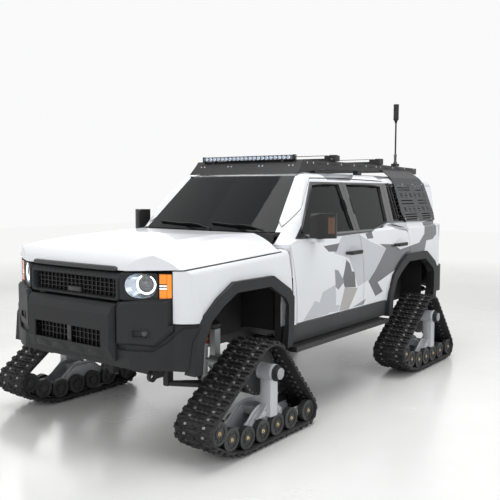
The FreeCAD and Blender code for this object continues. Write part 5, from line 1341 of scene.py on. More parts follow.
def buildBezel():
    count = 72
    window = ovalLoop(lamp["halfWidth"] - 0.010, lamp["halfHeight"] - 0.004, 2.25, count)
    low, high = lamp["bezelLow"] - lamp["centre"][2], lamp["bezelHigh"] - lamp["centre"][2]
    wide, tall = lamp["bezelHalf"], (high - low) / 2
    middle = np.array([lamp["bezelMiddle"], (high + low) / 2])
    outer = ovalLoop(wide, tall, 11.0, count) + middle
    face = middle + (outer - middle) * 0.985
    return [ringForm([lampPoints(*row) for row in (
        (outer, -0.070), (outer, -0.004), (face, 0.0), (window * 1.035, 0.0), (window * 1.01, -0.002),
        (window, -0.006), (window * 0.985, -0.060))])]


def buildBowl():
    count = 72
    window = ovalLoop(lamp["halfWidth"] - 0.011, lamp["halfHeight"] - 0.005, 2.25, count)
    ring = np.array(lamp["ring"])
    inner = ring + circle(lamp["ringRadius"] + 0.006, count)
    # the bowl's wall runs from the window to the ring's own circle, sinking as a quarter circle
    rows = []
    for share in np.linspace(0, 1, 9):
        sink = 0.010 + 0.042 * math.sin(share * math.pi / 2)
        rows.append(lampPoints(window + (inner - window) * share, -sink))
    back = [lampPoints(inner, -0.068), lampPoints(window, -0.068)]
    return [ringForm(rows + back, 0)]


def buildRing():
    # arc round the projector, open for 28 degrees each side of the top
    angle = np.radians(np.linspace(62, -242, 56))
    ring = np.array(lamp["ring"])
    line = ring + lamp["ringRadius"] * np.column_stack([np.cos(angle), np.sin(angle)])
    path = lampPoints(line, -0.020)
    turn = math.radians(lamp["facing"])
    forward = (math.cos(turn), math.sin(turn), 0.0)
    ends = np.ones(len(path))
    ends[[0, -1]] = 0.5
    return [sweepForm(path, roundedBox(0.013, 0.014, 0.0055, 3), up=forward, scale=ends)]


def buildProjector():
    ring = lamp["ring"]
    radius = lamp["ringRadius"]
    shroud = latheForm([(0.004, -0.050), (radius + 0.004, -0.050), (radius + 0.006, -0.026),
                        (radius - 0.009, -0.022),
                        (radius - 0.016, -0.040), (0.040, -0.044), (0.004, -0.044)], 48, "x", finish=0)
    collar = latheForm([(0.026, -0.044), (0.040, -0.044), (0.0405, -0.020), (0.0365, -0.017),
                        (0.034, -0.020),
                        (0.026, -0.030)], 44, "x", finish=1)
    lens = latheForm([(0.001, -0.034), (0.0335, -0.034), (0.0335, -0.026), (0.028, -0.018),
                      (0.018, -0.0125),
                      (0.008, -0.010), (0.001, -0.0095)], 40, "x", finish=2)
    blade = blockForm((-0.040, -0.034, -0.004), (-0.018, 0.034, 0.004), 0.002, 1)
    fins = [turnedLamp(moved(blade, to=(0, 0, 0.046)), ring[0], ring[1], 0.0)]
    return [turnedLamp(form, ring[0], ring[1], 0.0) for form in (shroud, collar, lens)] + fins


def buildLens():
    # thin outer lens: an oval that domes forwards as 1 - r^2
    count = 72
    window = ovalLoop(lamp["halfWidth"] - 0.0115, lamp["halfHeight"] - 0.0055, 2.25, count)
    rows = []
    for share in np.linspace(1, 0.02, 10):
        rows.append(lampPoints(window * share, 0.010 * (1 - share ** 2) - 0.004))
    under = [lampPoints(window * share, 0.010 * (1 - share ** 2) - 0.0065) for share in (0.02, 1.0)]
    return [gridForm(np.array(under[:1] + rows[::-1] + under[1:]), caps=True)]


bothSides("headlamp_bezel", "vehicle", buildBezel(), ["charcoal"], slot="charcoal_plastic")
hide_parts("headlights")
bothSides("headlamp_bowl", "vehicle", buildBowl(), ["reflector"], slot="lamp_lens", smooth=70.0)
bothSides("headlamp_ring", "vehicle", buildRing(), ["ringLight"], slot="lamp_lens")
bothSides("headlamp_projector", "vehicle", buildProjector(), ["blackPlastic", "steelDark", "darkLens"],
          slot="lamp_lens")
bothSides("headlamp_lens", "vehicle", buildLens(), ["clearLens"], slot="lamp_lens")


def buildMarker():
    # corner lamp: wraps from the bezel's outer edge round the nose's corner
    plan = np.array([(2.2805, 0.732), (2.2680, 0.757), (2.2555, 0.782), (2.2465, 0.800), (2.2365, 0.811)])
    low, high = 1.100, 1.261
    forms = []

    def band(start, end, bottom, top, out, back, finish):
        spread = evenly3(np.column_stack([plan, np.zeros(5)]), 25)[start:end, :2]
        direction = np.gradient(spread, axis=0)
        normal = np.column_stack([direction[:, 1], -direction[:, 0]])
        normal /= np.linalg.norm(normal, axis=1, keepdims=True)
        rows = []
        for depth, inset in ((-back, 0.0), (out - 0.002, 0.0), (out, 0.002)):
            line = spread + normal * depth
            rows.append((line, inset))
        loops = []
        for line, inset in rows:
            lower = np.column_stack([line, np.full(len(line), bottom + inset)])
            upper = np.column_stack([line[::-1], np.full(len(line), top - inset)])
            loops.append(np.concatenate([lower, upper]))
        forms.append(gridForm(np.array(loops), finish=finish))

    band(0, 25, low - 0.010, high + 0.006, -0.010, 0.045, 0)
    for bottom, top in ((low, 1.156), (1.196, high)):
        band(1, 15, bottom, top, 0.000, 0.012, 1)
    band(15, 24, low, high, 0.001, 0.012, 1)
    for z in (1.164, 1.182):
        band(1, 15, z - 0.004, z + 0.006, 0.001, 0.012, 2)
    band(0, 25, low - 0.012, low - 0.004, 0.002, 0.02, 0)
    band(0, 25, high + 0.001, high + 0.006, 0.002, 0.02, 0)
    band(0, 2, low - 0.010, high + 0.004, 0.001, 0.03, 0)
    return forms


bothSides("corner_marker", "vehicle", buildMarker(), ["seal", "amber", "whiteBar"], slot="lamp_lens")
print("head lamps built")
# doors: pull handles over round cups, belt strips, mirror faces, wipers, running board treads
doorLine = {"handleHeight": (1.268, 1.284), "handles": ((0.155, -0.105), (-0.805, -1.065)), "reach": 0.040,
            "cupRadius": 0.062, "beltHeight": 1.437}


def onSide(members, x, z, lift=0.0):
    return castOn(members, [(a, 1.6, b) for a, b in zip(x, z)], (0, -1, 0), lift)


def buildHandle(door, front, back, height):
    # bar path: out of the door at both ends, level in the middle
    along = np.linspace(front, back, 25)
    share = np.abs(2 * (along - front) / (back - front) - 1)
    reach = doorLine["reach"] * (1 - np.clip((share - 0.62) / 0.38, 0, 1) ** 2.2) + 0.002
    face = onSide((door,), along, np.full(25, height))
    path = face + np.column_stack([np.zeros(25), reach, np.zeros(25)])
    scale = 1 - 0.30 * np.clip((share - 0.7) / 0.3, 0, 1)
    bar = sweepForm(path, roundedBox(0.019, 0.036, 0.009, 4), scale=scale)
    middle = (front + back) / 2 + 0.012
    centre = onSide((door,), [middle], [height])[0]
    tilt = onSide((door,), [middle, middle], [height - 0.05, height + 0.05])
    lean = math.degrees(math.atan2(tilt[1][1] - tilt[0][1], 0.1))
    rim = doorLine["cupRadius"]
    cup = latheForm([(0.001, -0.001), (rim * 0.55, -0.0006), (rim * 0.86, 0.0010), (rim * 0.95, 0.0022),
                     (rim, 0.0012), (rim * 1.01, -0.002), (0.001, -0.003)], 44)
    cup = moved(moved(cup, turn=(-lean, 0, 0)), to=centre)
    lock = latheForm([(0.001, 0.0), (0.0085, 0.0), (0.0085, 0.002), (0.007, 0.003), (0.001, 0.003)], 20,
                     finish=2)
    key = onSide((door,), [back - 0.030], [height], 0.0005)[0]
    return [bar, painted(cup, 1), moved(lock, to=key)]


for door, ends, height in zip(("front_door", "rear_door"), doorLine["handles"], doorLine["handleHeight"]):
    bothSides(f"{door}_handle", door, buildHandle(f"{door}_left", *ends, height),
              ["charcoal", "patchedPaint", "steel"], slot="charcoal_plastic")


def kickedBelt(x):
    # level, then up over the rear door's last stretch
    return doorLine["beltHeight"] + 0.070 * np.clip((-0.37 - x) / 0.40, 0, 1)


def buildBeltStrip(door, front, back):
    x = np.linspace(front, back, 40)
    path = onSide((door,), x, kickedBelt(x) - 0.003, 0.001)
    return sweepForm(path, roundedBox(0.006, 0.016, 0.0025, 2))


for end, front, back in (("front", 0.800, -0.150), ("rear", -0.120, -0.900)):
    bothSides(f"{end}_belt_strip", f"{end}_door", [buildBeltStrip(f"{end}_door_left", front, back)],
              ["glossBlack"],
              slot="charcoal_plastic")


def buildWindowSeal(door, glass, inset):
    # thin rubber bead that follows the pane's edge on the outside
    flat = readPoints(nodes[glass].data)[:, [0, 2]]
    middle = (flat.min(axis=0) + flat.max(axis=0)) / 2
    angle = np.linspace(-math.pi, math.pi, 97)[:-1]
    direction = np.column_stack([np.cos(angle), np.sin(angle)])
    reach = ((flat - middle) @ direction.T).max(axis=0)
    # the outline is where each support line meets the next one
    following, turn = np.roll(reach, -1), angle[1] - angle[0]
    slide = (following - reach * math.cos(turn)) / math.sin(turn)
    outline = middle + reach[:, None] * direction + slide[:, None] * np.column_stack([-direction[:, 1],
                                                                                      direction[:, 0]])
    outline = middle + (outline - middle) * (1 - inset)
    steps = np.linalg.norm(np.diff(outline, axis=0, append=outline[:1]), axis=1)
    outline = outline[steps > 0.004]
    line = evenly3(np.column_stack([outline[:, 0], np.zeros(len(outline)), outline[:, 1]])[
        np.r_[0:len(outline), 0]], 121)[:-1]
    hits = onSide((glass, door), line[:, 0], line[:, 2], 0.002)
    return tubeForm(hits, 0.0055, 6, up=(0, 1, 0.02), closed=True)


for door in ("front_door", "rear_door"):
    seal = buildWindowSeal(f"{door}_left", f"{door}_left_glass", 0.012)
    bothSides(f"{door}_window_seal", door, [seal], ["seal"], slot="charcoal_plastic")

mirror = {"low": (0.998, 1.462), "high": (1.112, 1.606), "repeaterY": (1.096, 1.124),
          "repeaterZ": (1.470, 1.600)}


def buildMirrorFace():
    # silvered plate with a dark rim, set on the head's rear face
    (y0, z0), (y1, z1) = mirror["low"], mirror["high"]
    middle = ((y0 + y1) / 2, (z0 + z1) / 2)
    back = castOn(("door_mirror_left",), [(0.2, *middle)], (1, 0, 0))[0][0]
    loop = roundedBox(y1 - y0, z1 - z0, 0.022, 5) + np.array(middle)
    rim = ringForm([standing(insetOutline(loop[::-1], -grow)[::-1], back + out) for grow, out in
                    ((0.004, 0.004), (0.004, -0.004), (0.001, -0.0055), (-0.003, -0.004), (-0.003, 0.004))],
                   1)
    glass = plateForm(insetOutline(counterClockwise(loop), 0.0025), back - 0.003, back + 0.003, 0.0008,
                      "yz", 0)
    return [glass, rim]


def buildRepeater():
    # dark amber strip on the outer front corner
    low, high = mirror["repeaterZ"]
    z = np.linspace(low, high, 14)
    y = np.linspace(*mirror["repeaterY"], 5)
    rows = [castOn(("door_mirror_left",), [(1.2, across, height) for height in z], (-1, 0, 0),
                   0.0015) for across in y]
    rows = [row for row in rows if len(row) == len(z)]
    grid = np.array(rows)
    under = grid - np.array([0.006, 0, 0])
    shell = np.concatenate([grid, under[::-1]])
    return [gridForm(shell.transpose(1, 0, 2), finish=0)]


bothSides("mirror_glass", "door_mirror", buildMirrorFace(), ["mirrorGlass", "seal"],
          slot="glass")
bothSides("mirror_repeater", "door_mirror", buildRepeater(), ["darkAmber"],
          slot="lamp_lens")

# pivots and blade tips as (across, height); elbow is where along the blade the arm holds it
wipers = [{"pivot": (0.03, 1.476), "tip": (-0.560, 1.496), "elbow": 0.40},
          {"pivot": (0.590, 1.472), "tip": (0.070, 1.500), "elbow": 0.45}]


def onScreen(y, z, lift):
    return castOn(("windscreen",), [(1.6, a, b) for a, b in zip(y, z)], (-1, 0, 0), lift)


def buildWiper(values):
    (y0, z0), (y1, z1) = values["pivot"], values["tip"]
    share = np.linspace(0, 1, 22)
    blade = onScreen(y0 + (y1 - y0) * (0.12 + 0.88 * share), z0 + 0.030 + (z1 - z0) * share, 0.006)
    rubber = sweepForm(blade, roundedBox(0.010, 0.012, 0.003, 2), up=(1, 0, 1.2), finish=1)
    spine = sweepForm(blade + np.array([0.007, 0, 0.005]), roundedBox(0.010, 0.014, 0.004, 2),
                      up=(1, 0, 1.2))
    foot = np.array([blade[0][0] + 0.038, y0 + 0.045, 1.490])
    grip = blade[int(22 * values["elbow"])] + np.array([0.012, 0, 0.010])
    bend = foot + (grip - foot) * 0.35 + np.array([0.018, 0, 0.016])
    arm = sweepForm(evenly3([foot, bend, (bend + grip) / 2 + np.array([0.004, 0, 0.004]), grip], 18),
                    roundedBox(0.009, 0.018, 0.004, 2), up=(1, 0, 1.2), scale=np.linspace(1.25, 0.75, 18))
    cap = latheForm([(0.002, -0.020), (0.015, -0.020), (0.017, 0.006), (0.012, 0.014), (0.002, 0.015)], 24,
                    "z",
                    tuple(foot))
    return [rubber, spine, arm, cap]


piece("windscreen_wipers", "vehicle", sum((buildWiper(values) for values in wipers), []),
      ["blackPlastic", "seal"],
      "charcoal_plastic")


step = {"pads": ((0.930, 0.330), (0.120, -0.480)), "pitch": 0.024, "ends": (-0.575, 1.040),
        "brackets": (-0.42, 0.20, 0.82)}


def buildTreads():
    # raised ribs in two long pads on the step, end caps, and the brackets below
    forms = []
    rib = blockForm((-0.0035, 0.838, 0.589), (0.0035, 0.985, 0.5935), 0.0015, 0, 1)
    for front, back in step["pads"]:
        forms.append(shifted(rib, [(x, 0, 0) for x in np.arange(back, front, step["pitch"])]))
        forms.append(blockForm((back - 0.02, 0.834, 0.588), (front + 0.02, 0.989, 0.5905), 0.001, 1, 1,
                               "x"))
    for x in step["ends"]:
        forms.append(blockForm((x - 0.004, 0.802, 0.551), (x + 0.004, 1.008, 0.589), 0.003, 1, 2))
    for x in step["brackets"]:
        path = evenly3([(x, 0.66, 0.60), (x, 0.76, 0.575), (x, 0.81, 0.560), (x, 0.95, 0.5535)], 14)
        forms.append(sweepForm(path, roundedBox(0.030, 0.008, 0.002, 2), finish=1))
    return forms


bothSides("running_board_tread", "vehicle", buildTreads(), ["seal", "rackCoat"], slot="frame_metal")
print("sides dressed")
# roof: lamp bar with its row of reflectors, rack bolts, painted shade for the rack's slots, carrier clamps,
# aerial base
barLamp = {"front": 0.376, "half": 0.519, "low": 2.089, "high": 2.132, "count": 21}


def buildLampCups():
    pitch = 2 * (barLamp["half"] - 0.022) / barLamp["count"]
    middle = (barLamp["low"] + barLamp["high"]) / 2
    face = barLamp["front"]
    cup = latheForm([(0.0035, face - 0.014), (0.008, face - 0.013), (0.0135, face - 0.006),
                     (0.0165, face + 0.0035),
                     (0.0175, face + 0.004), (0.0178, face - 0.002), (0.0178, face - 0.016),
                     (0.0035, face - 0.016)],
                    18, "x", (0, 0, middle), 0)
    chip = blockForm((face - 0.013, -0.003, middle - 0.003), (face - 0.010, 0.003, middle + 0.003), 0.001,
                     1, 1)
    places = [(0, -barLamp["half"] + 0.022 + pitch * (step + 0.5), 0) for step in range(barLamp["count"])]
    return [shifted(cup, places), shifted(chip, places)]


def buildBarCase():
    face, half, low, high = barLamp["front"], barLamp["half"], barLamp["low"], barLamp["high"]
    loops = [standing(rectLoop(half - 0.001 - inset, low + 0.001 + inset, high - 0.001 - inset, 0.005),
                      face + out)
             for inset, out in ((0.0, -0.020), (0.0, 0.002), (0.0015, 0.0042), (0.0035, 0.0042),
                                (0.0045, 0.000),
                                (0.0045, -0.020))]
    body = blockForm((0.3330, -half + 0.002, low + 0.0015), (face - 0.0165, half - 0.002, high - 0.0015),
                     0.003, 0, 2)
    forms = [ringForm(loops), body]
    fin = blockForm((0.3295, -half + 0.014, -0.0009), (0.334, half - 0.014, 0.0009), 0.0004, 0, 1)
    forms.append(shifted(fin, [(0, 0, z) for z in np.arange(low + 0.006, high - 0.004, 0.0055)]))
    for y in (-half, half):
        side = math.copysign(1, y)
        cap = blockForm((0.330, min(y, y + side * 0.009), low - 0.003),
                        (face + 0.006, max(y, y + side * 0.009),
                                                                      high + 0.003), 0.004, 1, 2)
        forms.append(cap)
        for z in (low + 0.008, high - 0.008):
            forms.append(latheForm([(0.001, side * (half + 0.008)), (0.0038, side * (half + 0.008)),
                                    (0.0038, side * (half + 0.0105)), (0.001, side * (half + 0.0105))], 10,
                                   at=(0.352, 0, z), finish=2))
    for y in (-0.40, 0.40):
        forms.append(blockForm((0.322, y - 0.016, low - 0.018), (0.372, y + 0.016, low + 0.002), 0.003, 0,
                               2))
    lens = plateForm(rectLoop(half - 0.005, low + 0.0055, high - 0.0055, 0.004), face + 0.0005,
                     face + 0.0022, 0.0005,
                     "yz", 3)
    return forms + [lens]


piece("light_bar_reflectors", "vehicle", buildLampCups(), ["reflector", "whiteBar"], "lamp_lens")
piece("light_bar_case", "vehicle", buildBarCase(), ["rackCoat", "blackPlastic", "steel", "clearLens"],
      "rack_metal",
      ["light_bar"])


def boltsOn(members, starts, direction, radius=0.0065, height=0.005):
    # dome-headed bolts stood on the surface that each ray meets
    hits = castOn(members, starts, direction)
    axis = "xyz"[int(np.abs(direction).argmax())]
    sign = -np.sign(direction[int(np.abs(direction).argmax())])
    profile = [(0.0004, 0.0), (radius * 1.45, 0.0), (radius * 1.45, 0.0012), (radius, 0.0014),
               (radius, height * 0.6),
               (radius * 0.75, height), (0.0004, height)]
    head = latheForm([(r, h * sign) for r, h in profile], 12, axis)
    return shifted(head, hits) if len(hits) else None


rack = {
    "boltHeight": 2.062, "bolts": (0.30, 0.20, -0.05, -0.30, -0.55, -0.80, -1.02, -1.12, -1.40, -1.70,
                                   -1.95),
    "fairingHeight": 2.035, "fairingBolts": (-0.53, -0.49, -0.20, -0.16, 0.16, 0.20, 0.49, 0.53),
    "slotHeight": 2.055, "slots": (0.08, -0.17, -0.42, -0.67, -0.91, -1.26, -1.55, -1.82),
    "slotSize": (0.105, 0.010, 0.0049),
}


def buildRackBolts():
    forms = []
    for side in (1, -1):
        starts = [(x, side * 1.2, rack["boltHeight"]) for x in rack["bolts"]]
        forms.append(boltsOn(("roof_rack",), starts, (0, -side, 0)))
    for y in rack["fairingBolts"]:
        forms.append(boltsOn(("roof_rack",), [(1.2, y, rack["fairingHeight"])], (-1, 0, 0)))
    return [form for form in forms if form is not None]


def buildRackSlotShades():
    # painted shade: dark plates laid on the side plates where the long holes are
    forms = []
    for side in (1, -1):
        for x in rack["slots"]:
            loop = roundedBox(*rack["slotSize"], 3) + np.array([x, rack["slotHeight"]])
            hits = castOn(("roof_rack",), [(a, side * 1.2, b) for a, b in loop], (0, -side, 0))
            if len(hits) == len(loop) and np.ptp(hits[:, 1]) < 0.01:
                plane = hits[:, 1].mean()
                low, high = sorted((plane - side * 0.002, plane + side * 0.0008))
                forms.append(plateForm(loop, low, high, 0.0003, "xz", 0))
    return forms


piece("rack_bolts", "vehicle", buildRackBolts(), ["steel"], "rack_metal")
piece("rack_slot_shades", "vehicle", buildRackSlotShades(), ["seal"], "rack_metal")


def buildCarrier():
    # rubber jaws along each bar, hinge block at one end, push-button latch at the other
    forms = []
    low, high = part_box("ski_carrier")
    for x in (low[0] + 0.026, high[0] - 0.026):
        ridge = blockForm((x - 0.020, -0.0045, 2.1395), (x + 0.020, 0.0045, 2.1455), 0.0015, 1, 1)
        forms.append(shifted(ridge, [(0, y, 0) for y in np.arange(-0.54, 0.545, 0.030)]))
        for y in (-0.615, 0.615):
            forms.append(blockForm((x - 0.034, y - 0.036, 2.086), (x + 0.034, y + 0.036, 2.148), 0.008, 0,
                                   3))
            forms.append(blockForm((x - 0.040, y - 0.012, 2.096), (x + 0.040, y + 0.012, 2.118), 0.004, 2,
                                   2))
        forms.append(latheForm([(0.001, 2.145), (0.014, 2.145), (0.014, 2.151), (0.011, 2.153),
                                (0.001, 2.153)], 24,
                               "z", (x, -0.615, 0), 2))
    return forms


piece("carrier_clamps", "vehicle", buildCarrier(), ["blackPlastic", "seal", "steelDark"], "rack_metal")


# turned parts as (profile of radius and height, count, finish), from the foot up and from the tip down
aerial = {
    "springRadius": 0.013, "wire": 0.0034, "turns": 6, "springFoot": 0.052, "rise": 0.0016,
    "foot": [([(0.001, 0.028), (0.020, 0.028), (0.022, 0.034), (0.020, 0.050), (0.012, 0.054),
               (0.001, 0.054)], 28, 0),
             ([(0.001, 0.110), (0.016, 0.110), (0.0165, 0.128), (0.011, 0.138), (0.001, 0.139)], 24, 0)],
    "tip": [([(0.0092, -0.205), (0.0105, -0.204), (0.018, -0.178), (0.0295, -0.163), (0.0295, -0.158),
              (0.0092, -0.158)], 28, 1),
            ([(0.020, -0.153), (0.0298, -0.153), (0.0304, -0.150), (0.0298, -0.147), (0.020, -0.147)], 32,
             1),
            ([(0.020, -0.015), (0.0298, -0.015), (0.0304, -0.012), (0.0298, -0.009), (0.020, -0.009)], 32,
             1)],
    "bolt": [(0.001, 0.028), (0.0045, 0.028), (0.0045, 0.032), (0.001, 0.0325)], "boltAt": (0.026, 0.018),
}


def buildAerial():
    # spring base, locking collar and a tapered whip joint under the thick tip
    (x0, y0, z0), (x1, y1, z1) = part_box("antenna")
    x, y = (x0 + x1) / 2, (y0 + y1) / 2
    turns = np.linspace(0, 2 * math.pi * aerial["turns"], 120)
    radius = aerial["springRadius"]
    spring = np.column_stack([x + radius * np.cos(turns), y + radius * np.sin(turns),
                              z0 + aerial["springFoot"] + turns * aerial["rise"]])
    forms = [tubeForm(spring, aerial["wire"], 6)]
    for parts, start in ((aerial["foot"], z0), (aerial["tip"], z1)):
        forms += [latheForm(profile, count, "z", (x, y, start), finish) for profile, count, finish in parts]
    dx, dy = aerial["boltAt"]
    for a, b in ((dx, dy), (-dx, dy), (dx, -dy), (-dx, -dy)):
        forms.append(latheForm(aerial["bolt"], 12, "z", (x + a, y + b, z0), 2))
    return forms


piece("aerial_base", "vehicle", buildAerial(), ["steelDark", "blackPlastic", "steel"], "rack_metal")


def buildPanelStruts():
    # uprights and level tubes seen between the quarter window and the slotted panel
    forms = []
    for z0, z1, x in ((1.530, 1.890, -1.045), (1.530, 1.880, -1.105)):
        heights = np.linspace(z0, z1, 12)
        face = onSide(("quarter_windows", "side_frame_left"), np.linspace(x + 0.02, x - 0.02, 12), heights,
                      0.014)
        forms.append(sweepForm(face, roundedBox(0.022, 0.012, 0.003, 2), up=(1, 0, 0)))
    for z in (1.56, 1.63, 1.70, 1.77, 1.84):
        x = np.linspace(-1.03, -1.90, 20)
        forms.append(tubeForm(onSide(("quarter_windows", "side_frame_left"), x, np.full(20, z), 0.012),
                              0.004, 8))
    return forms


bothSides("panel_struts", "vehicle", buildPanelStruts(), ["rackCoat"], slot="rack_metal")


def buildPanelBolts():
    forms = []
    for x, z in ((-1.16, 1.88), (-1.40, 1.885), (-1.66, 1.885), (-1.90, 1.885), (-1.20, 1.525),
                 (-1.50, 1.515),
                 (-1.85, 1.515)):
        forms.append(boltsOn(("side_panels",), [(x, 1.6, z)], (0, -1, 0)))
    return [form for form in forms if form is not None]


bothSides("panel_bolts", "vehicle", buildPanelBolts(), ["steel"], slot="rack_metal")
print("roof dressed")
# seats: each pad starts as a rounded slab in its cushion's space and is blown up under its cover
# name: (middle, length, width, height, turn about y, then each run of channels as an axis and its places)
pads = {
    "front_cushion": ((-0.1075, 0.380, 0.975), 0.500, 0.500, 0.112, 0, (0, (-0.24, -0.11, 0.02)),
                      (1, (0.255, 0.505))),
    "front_backrest": ((-0.388, 0.380, 1.280), 0.620, 0.480, 0.108, -104, (2, (1.16, 1.28, 1.40)),
                       (1, (0.255, 0.505))),
    "front_headrest": ((-0.4625, 0.380, 1.705), 0.176, 0.250, 0.082, -100, (2, ()), (1, ())),
    "rear_cushion": ((-0.9675, 0.0, 0.982), 0.460, 1.070, 0.108, 0, (0, (-1.06, -0.92)),
                     (1, (-0.18, 0.18))),
    "rear_backrest": ((-1.2255, 0.0, 1.262), 0.540, 1.070, 0.090, -103, (2, (1.20, 1.34)),
                      (1, (-0.18, 0.18))),
    "rear_headrest": ((-1.2825, 0.0, 1.600), 0.150, 0.210, 0.072, -98, (2, ()), (1, ())),
}


def slab(width, length, height, radius, steps=14):
    # superellipsoid-like pad on a grid: |x|^4 + |y|^4 + |z|^2.6 = 1
    around = np.linspace(-math.pi, math.pi, 4 * steps + 1)[:-1]
    rise = np.linspace(-math.pi / 2 + 0.02, math.pi / 2 - 0.02, steps)
    flat = np.column_stack([np.sign(np.cos(around)) * np.abs(np.cos(around)) ** (2 / radius),
                            np.sign(np.sin(around)) * np.abs(np.sin(around)) ** (2 / radius)])
    level = np.abs(np.cos(rise)) ** 0.55
    up = np.sign(np.sin(rise)) * np.abs(np.sin(rise)) ** 0.75
    points = np.concatenate([level[:, None, None] * flat[None] * np.array([length / 2, width / 2]),
                             np.broadcast_to((up * height / 2)[:, None, None], (steps, len(around), 1))],
                            axis=2)
    return gridForm(points)


def inflated(name, values, cap=0.010):
    # the pad's cover under pressure, each point held to within cap of where it began
    middle, length, width, height, turn, *channels = values
    form = moved(slab(width - 0.016, length - 0.016, height - 0.010, 5.0), turn=(0, turn, 0), to=middle)
    made = piece(name, "vehicle", [form], ["fabric"], "seat_fabric", smooth=180.0)
    remesh = made.modifiers.new("even", "REMESH")
    remesh.mode, remesh.voxel_size = "VOXEL", 0.010
    settle(made)
    before = readPoints(made.data)
    cloth = made.modifiers.new("cover", "CLOTH")
    cloth.settings.use_pressure = True
    cloth.settings.uniform_pressure_force = 4.0
    cloth.settings.effector_weights.gravity = 0.0
    for step in range(1, 17):
        scene.frame_set(step)
    settle(made)
    move = readPoints(made.data) - before
    far = np.linalg.norm(move, axis=1, keepdims=True)
    writePoints(made.data, before + move * np.minimum(1.0, cap / np.maximum(far, 1e-9)))
    scene.frame_set(1)
    points = readPoints(made.data)
    for axis, places in channels:
        points += dip(points, axis, places)
    writePoints(made.data, points)
    smoothing = made.modifiers.new("rounding", "SUBSURF")
    smoothing.levels = smoothing.render_levels = 1
    settle(made)
    made.data.shade_smooth()
    return made


def settle(made):
    # the modifiers' result becomes the mesh
    graph = bpy.context.evaluated_depsgraph_get()
    mesh = bpy.data.meshes.new_from_object(made.evaluated_get(graph), depsgraph=graph)
    old = made.data
    made.modifiers.clear()
    made.data = mesh
    mesh.name = old.name
    bpy.data.meshes.remove(old)


def dip(points, axis, places, depth=0.007, wide=0.010):
    # sewn channels: towards the pad's middle by depth * exp(-(distance / wide)^2)
    pull = np.zeros(len(points))
    for place in places:
        pull = np.maximum(pull, depth * np.exp(-((points[:, axis] - place) / wide) ** 2))
    inward = points.mean(axis=0) - points
    inward[:, axis] = 0
    inward /= np.maximum(np.linalg.norm(inward, axis=1, keepdims=True), 1e-6)
    return inward * pull[:, None]


def copyPad(made, name, points, flip):
    # a second pad from the first one's mesh, with its points moved or mirrored
    mesh = made.data.copy()
    mesh.name = name
    if flip:
        mesh.flip_normals()
    writePoints(mesh, points)
    twin = bpy.data.objects.new(name, mesh)
    scene.collection.objects.link(twin)
    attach(twin, "vehicle")


def buildSeats():
    made = {name: inflated(name if name.startswith("rear") else name + "_left", values)
            for name, values in pads.items()}
    for name, pad in made.items():
        if name.startswith("front"):
            copyPad(pad, name + "_right", readPoints(pad.data) * np.array([1, -1, 1]), True)
    for side, shift in (("left", 0.4), ("right", -0.4)):
        points = readPoints(made["rear_headrest"].data) + np.array([0, shift, 0])
        copyPad(made["rear_headrest"], f"rear_headrest_{side}", points, False)


# blocks of one front seat as (x from, x to, y from, y to, z from, z to, rounding, finish)
seatFrame = {"middle": 0.380, "blocks": [
    (-0.325, 0.110, -0.188, 0.188, 0.722, 0.905, 0.012, 0),
    (-0.365, 0.150, -0.186, -0.154, 0.7205, 0.750, 0.004, 1),
    (-0.365, 0.150, 0.154, 0.186, 0.7205, 0.750, 0.004, 1),
    (-0.340, 0.130, -0.236, -0.222, 0.880, 0.965, 0.006, 0),
    (-0.340, 0.130, 0.222, 0.236, 0.880, 0.965, 0.006, 0),
]}


def buildSeatFrames():
    # plinths with rails, valances, recline covers and headrest posts; a bench box behind
    forms = []
    for side in (1, -1):
        y = seatFrame["middle"] * side
        for x0, x1, y0, y1, z0, z1, rounding, finish in seatFrame["blocks"]:
            forms.append(blockForm((x0, y + y0, z0), (x1, y + y1, z1), rounding, finish))
        forms.append(latheForm([(0.002, -0.012), (0.052, -0.012), (0.058, -0.004), (0.054, 0.010),
                                (0.002, 0.012)], 28,
                               at=(-0.350, y + 0.238 * side, 0.965)))
        for post in (-0.055, 0.055):
            forms.append(tubeForm([(-0.446, y + post, 1.575), (-0.452, y + post, 1.61),
                                   (-0.460, y + post, 1.66)],
                                  0.006, 10, up=(0, 1, 0), finish=1))
    forms.append(blockForm((-1.200, -0.540, 0.722), (-0.740, 0.540, 0.925), 0.014))
    forms.append(blockForm((-1.296, -0.520, 1.000), (-1.276, 0.520, 1.500), 0.006))
    for y in (-0.4, 0.0, 0.4):
        for post in (-0.045, 0.045):
            forms.append(tubeForm([(-1.270, y + post, 1.50), (-1.275, y + post, 1.54),
                                   (-1.282, y + post, 1.58)],
                                  0.005, 10, up=(0, 1, 0), finish=1))
    return forms


buildSeats()
piece("seat_frames", "vehicle", buildSeatFrames(), ["trim", "steel"], "cabin_trim",
      ["front_seats", "rear_bench"])


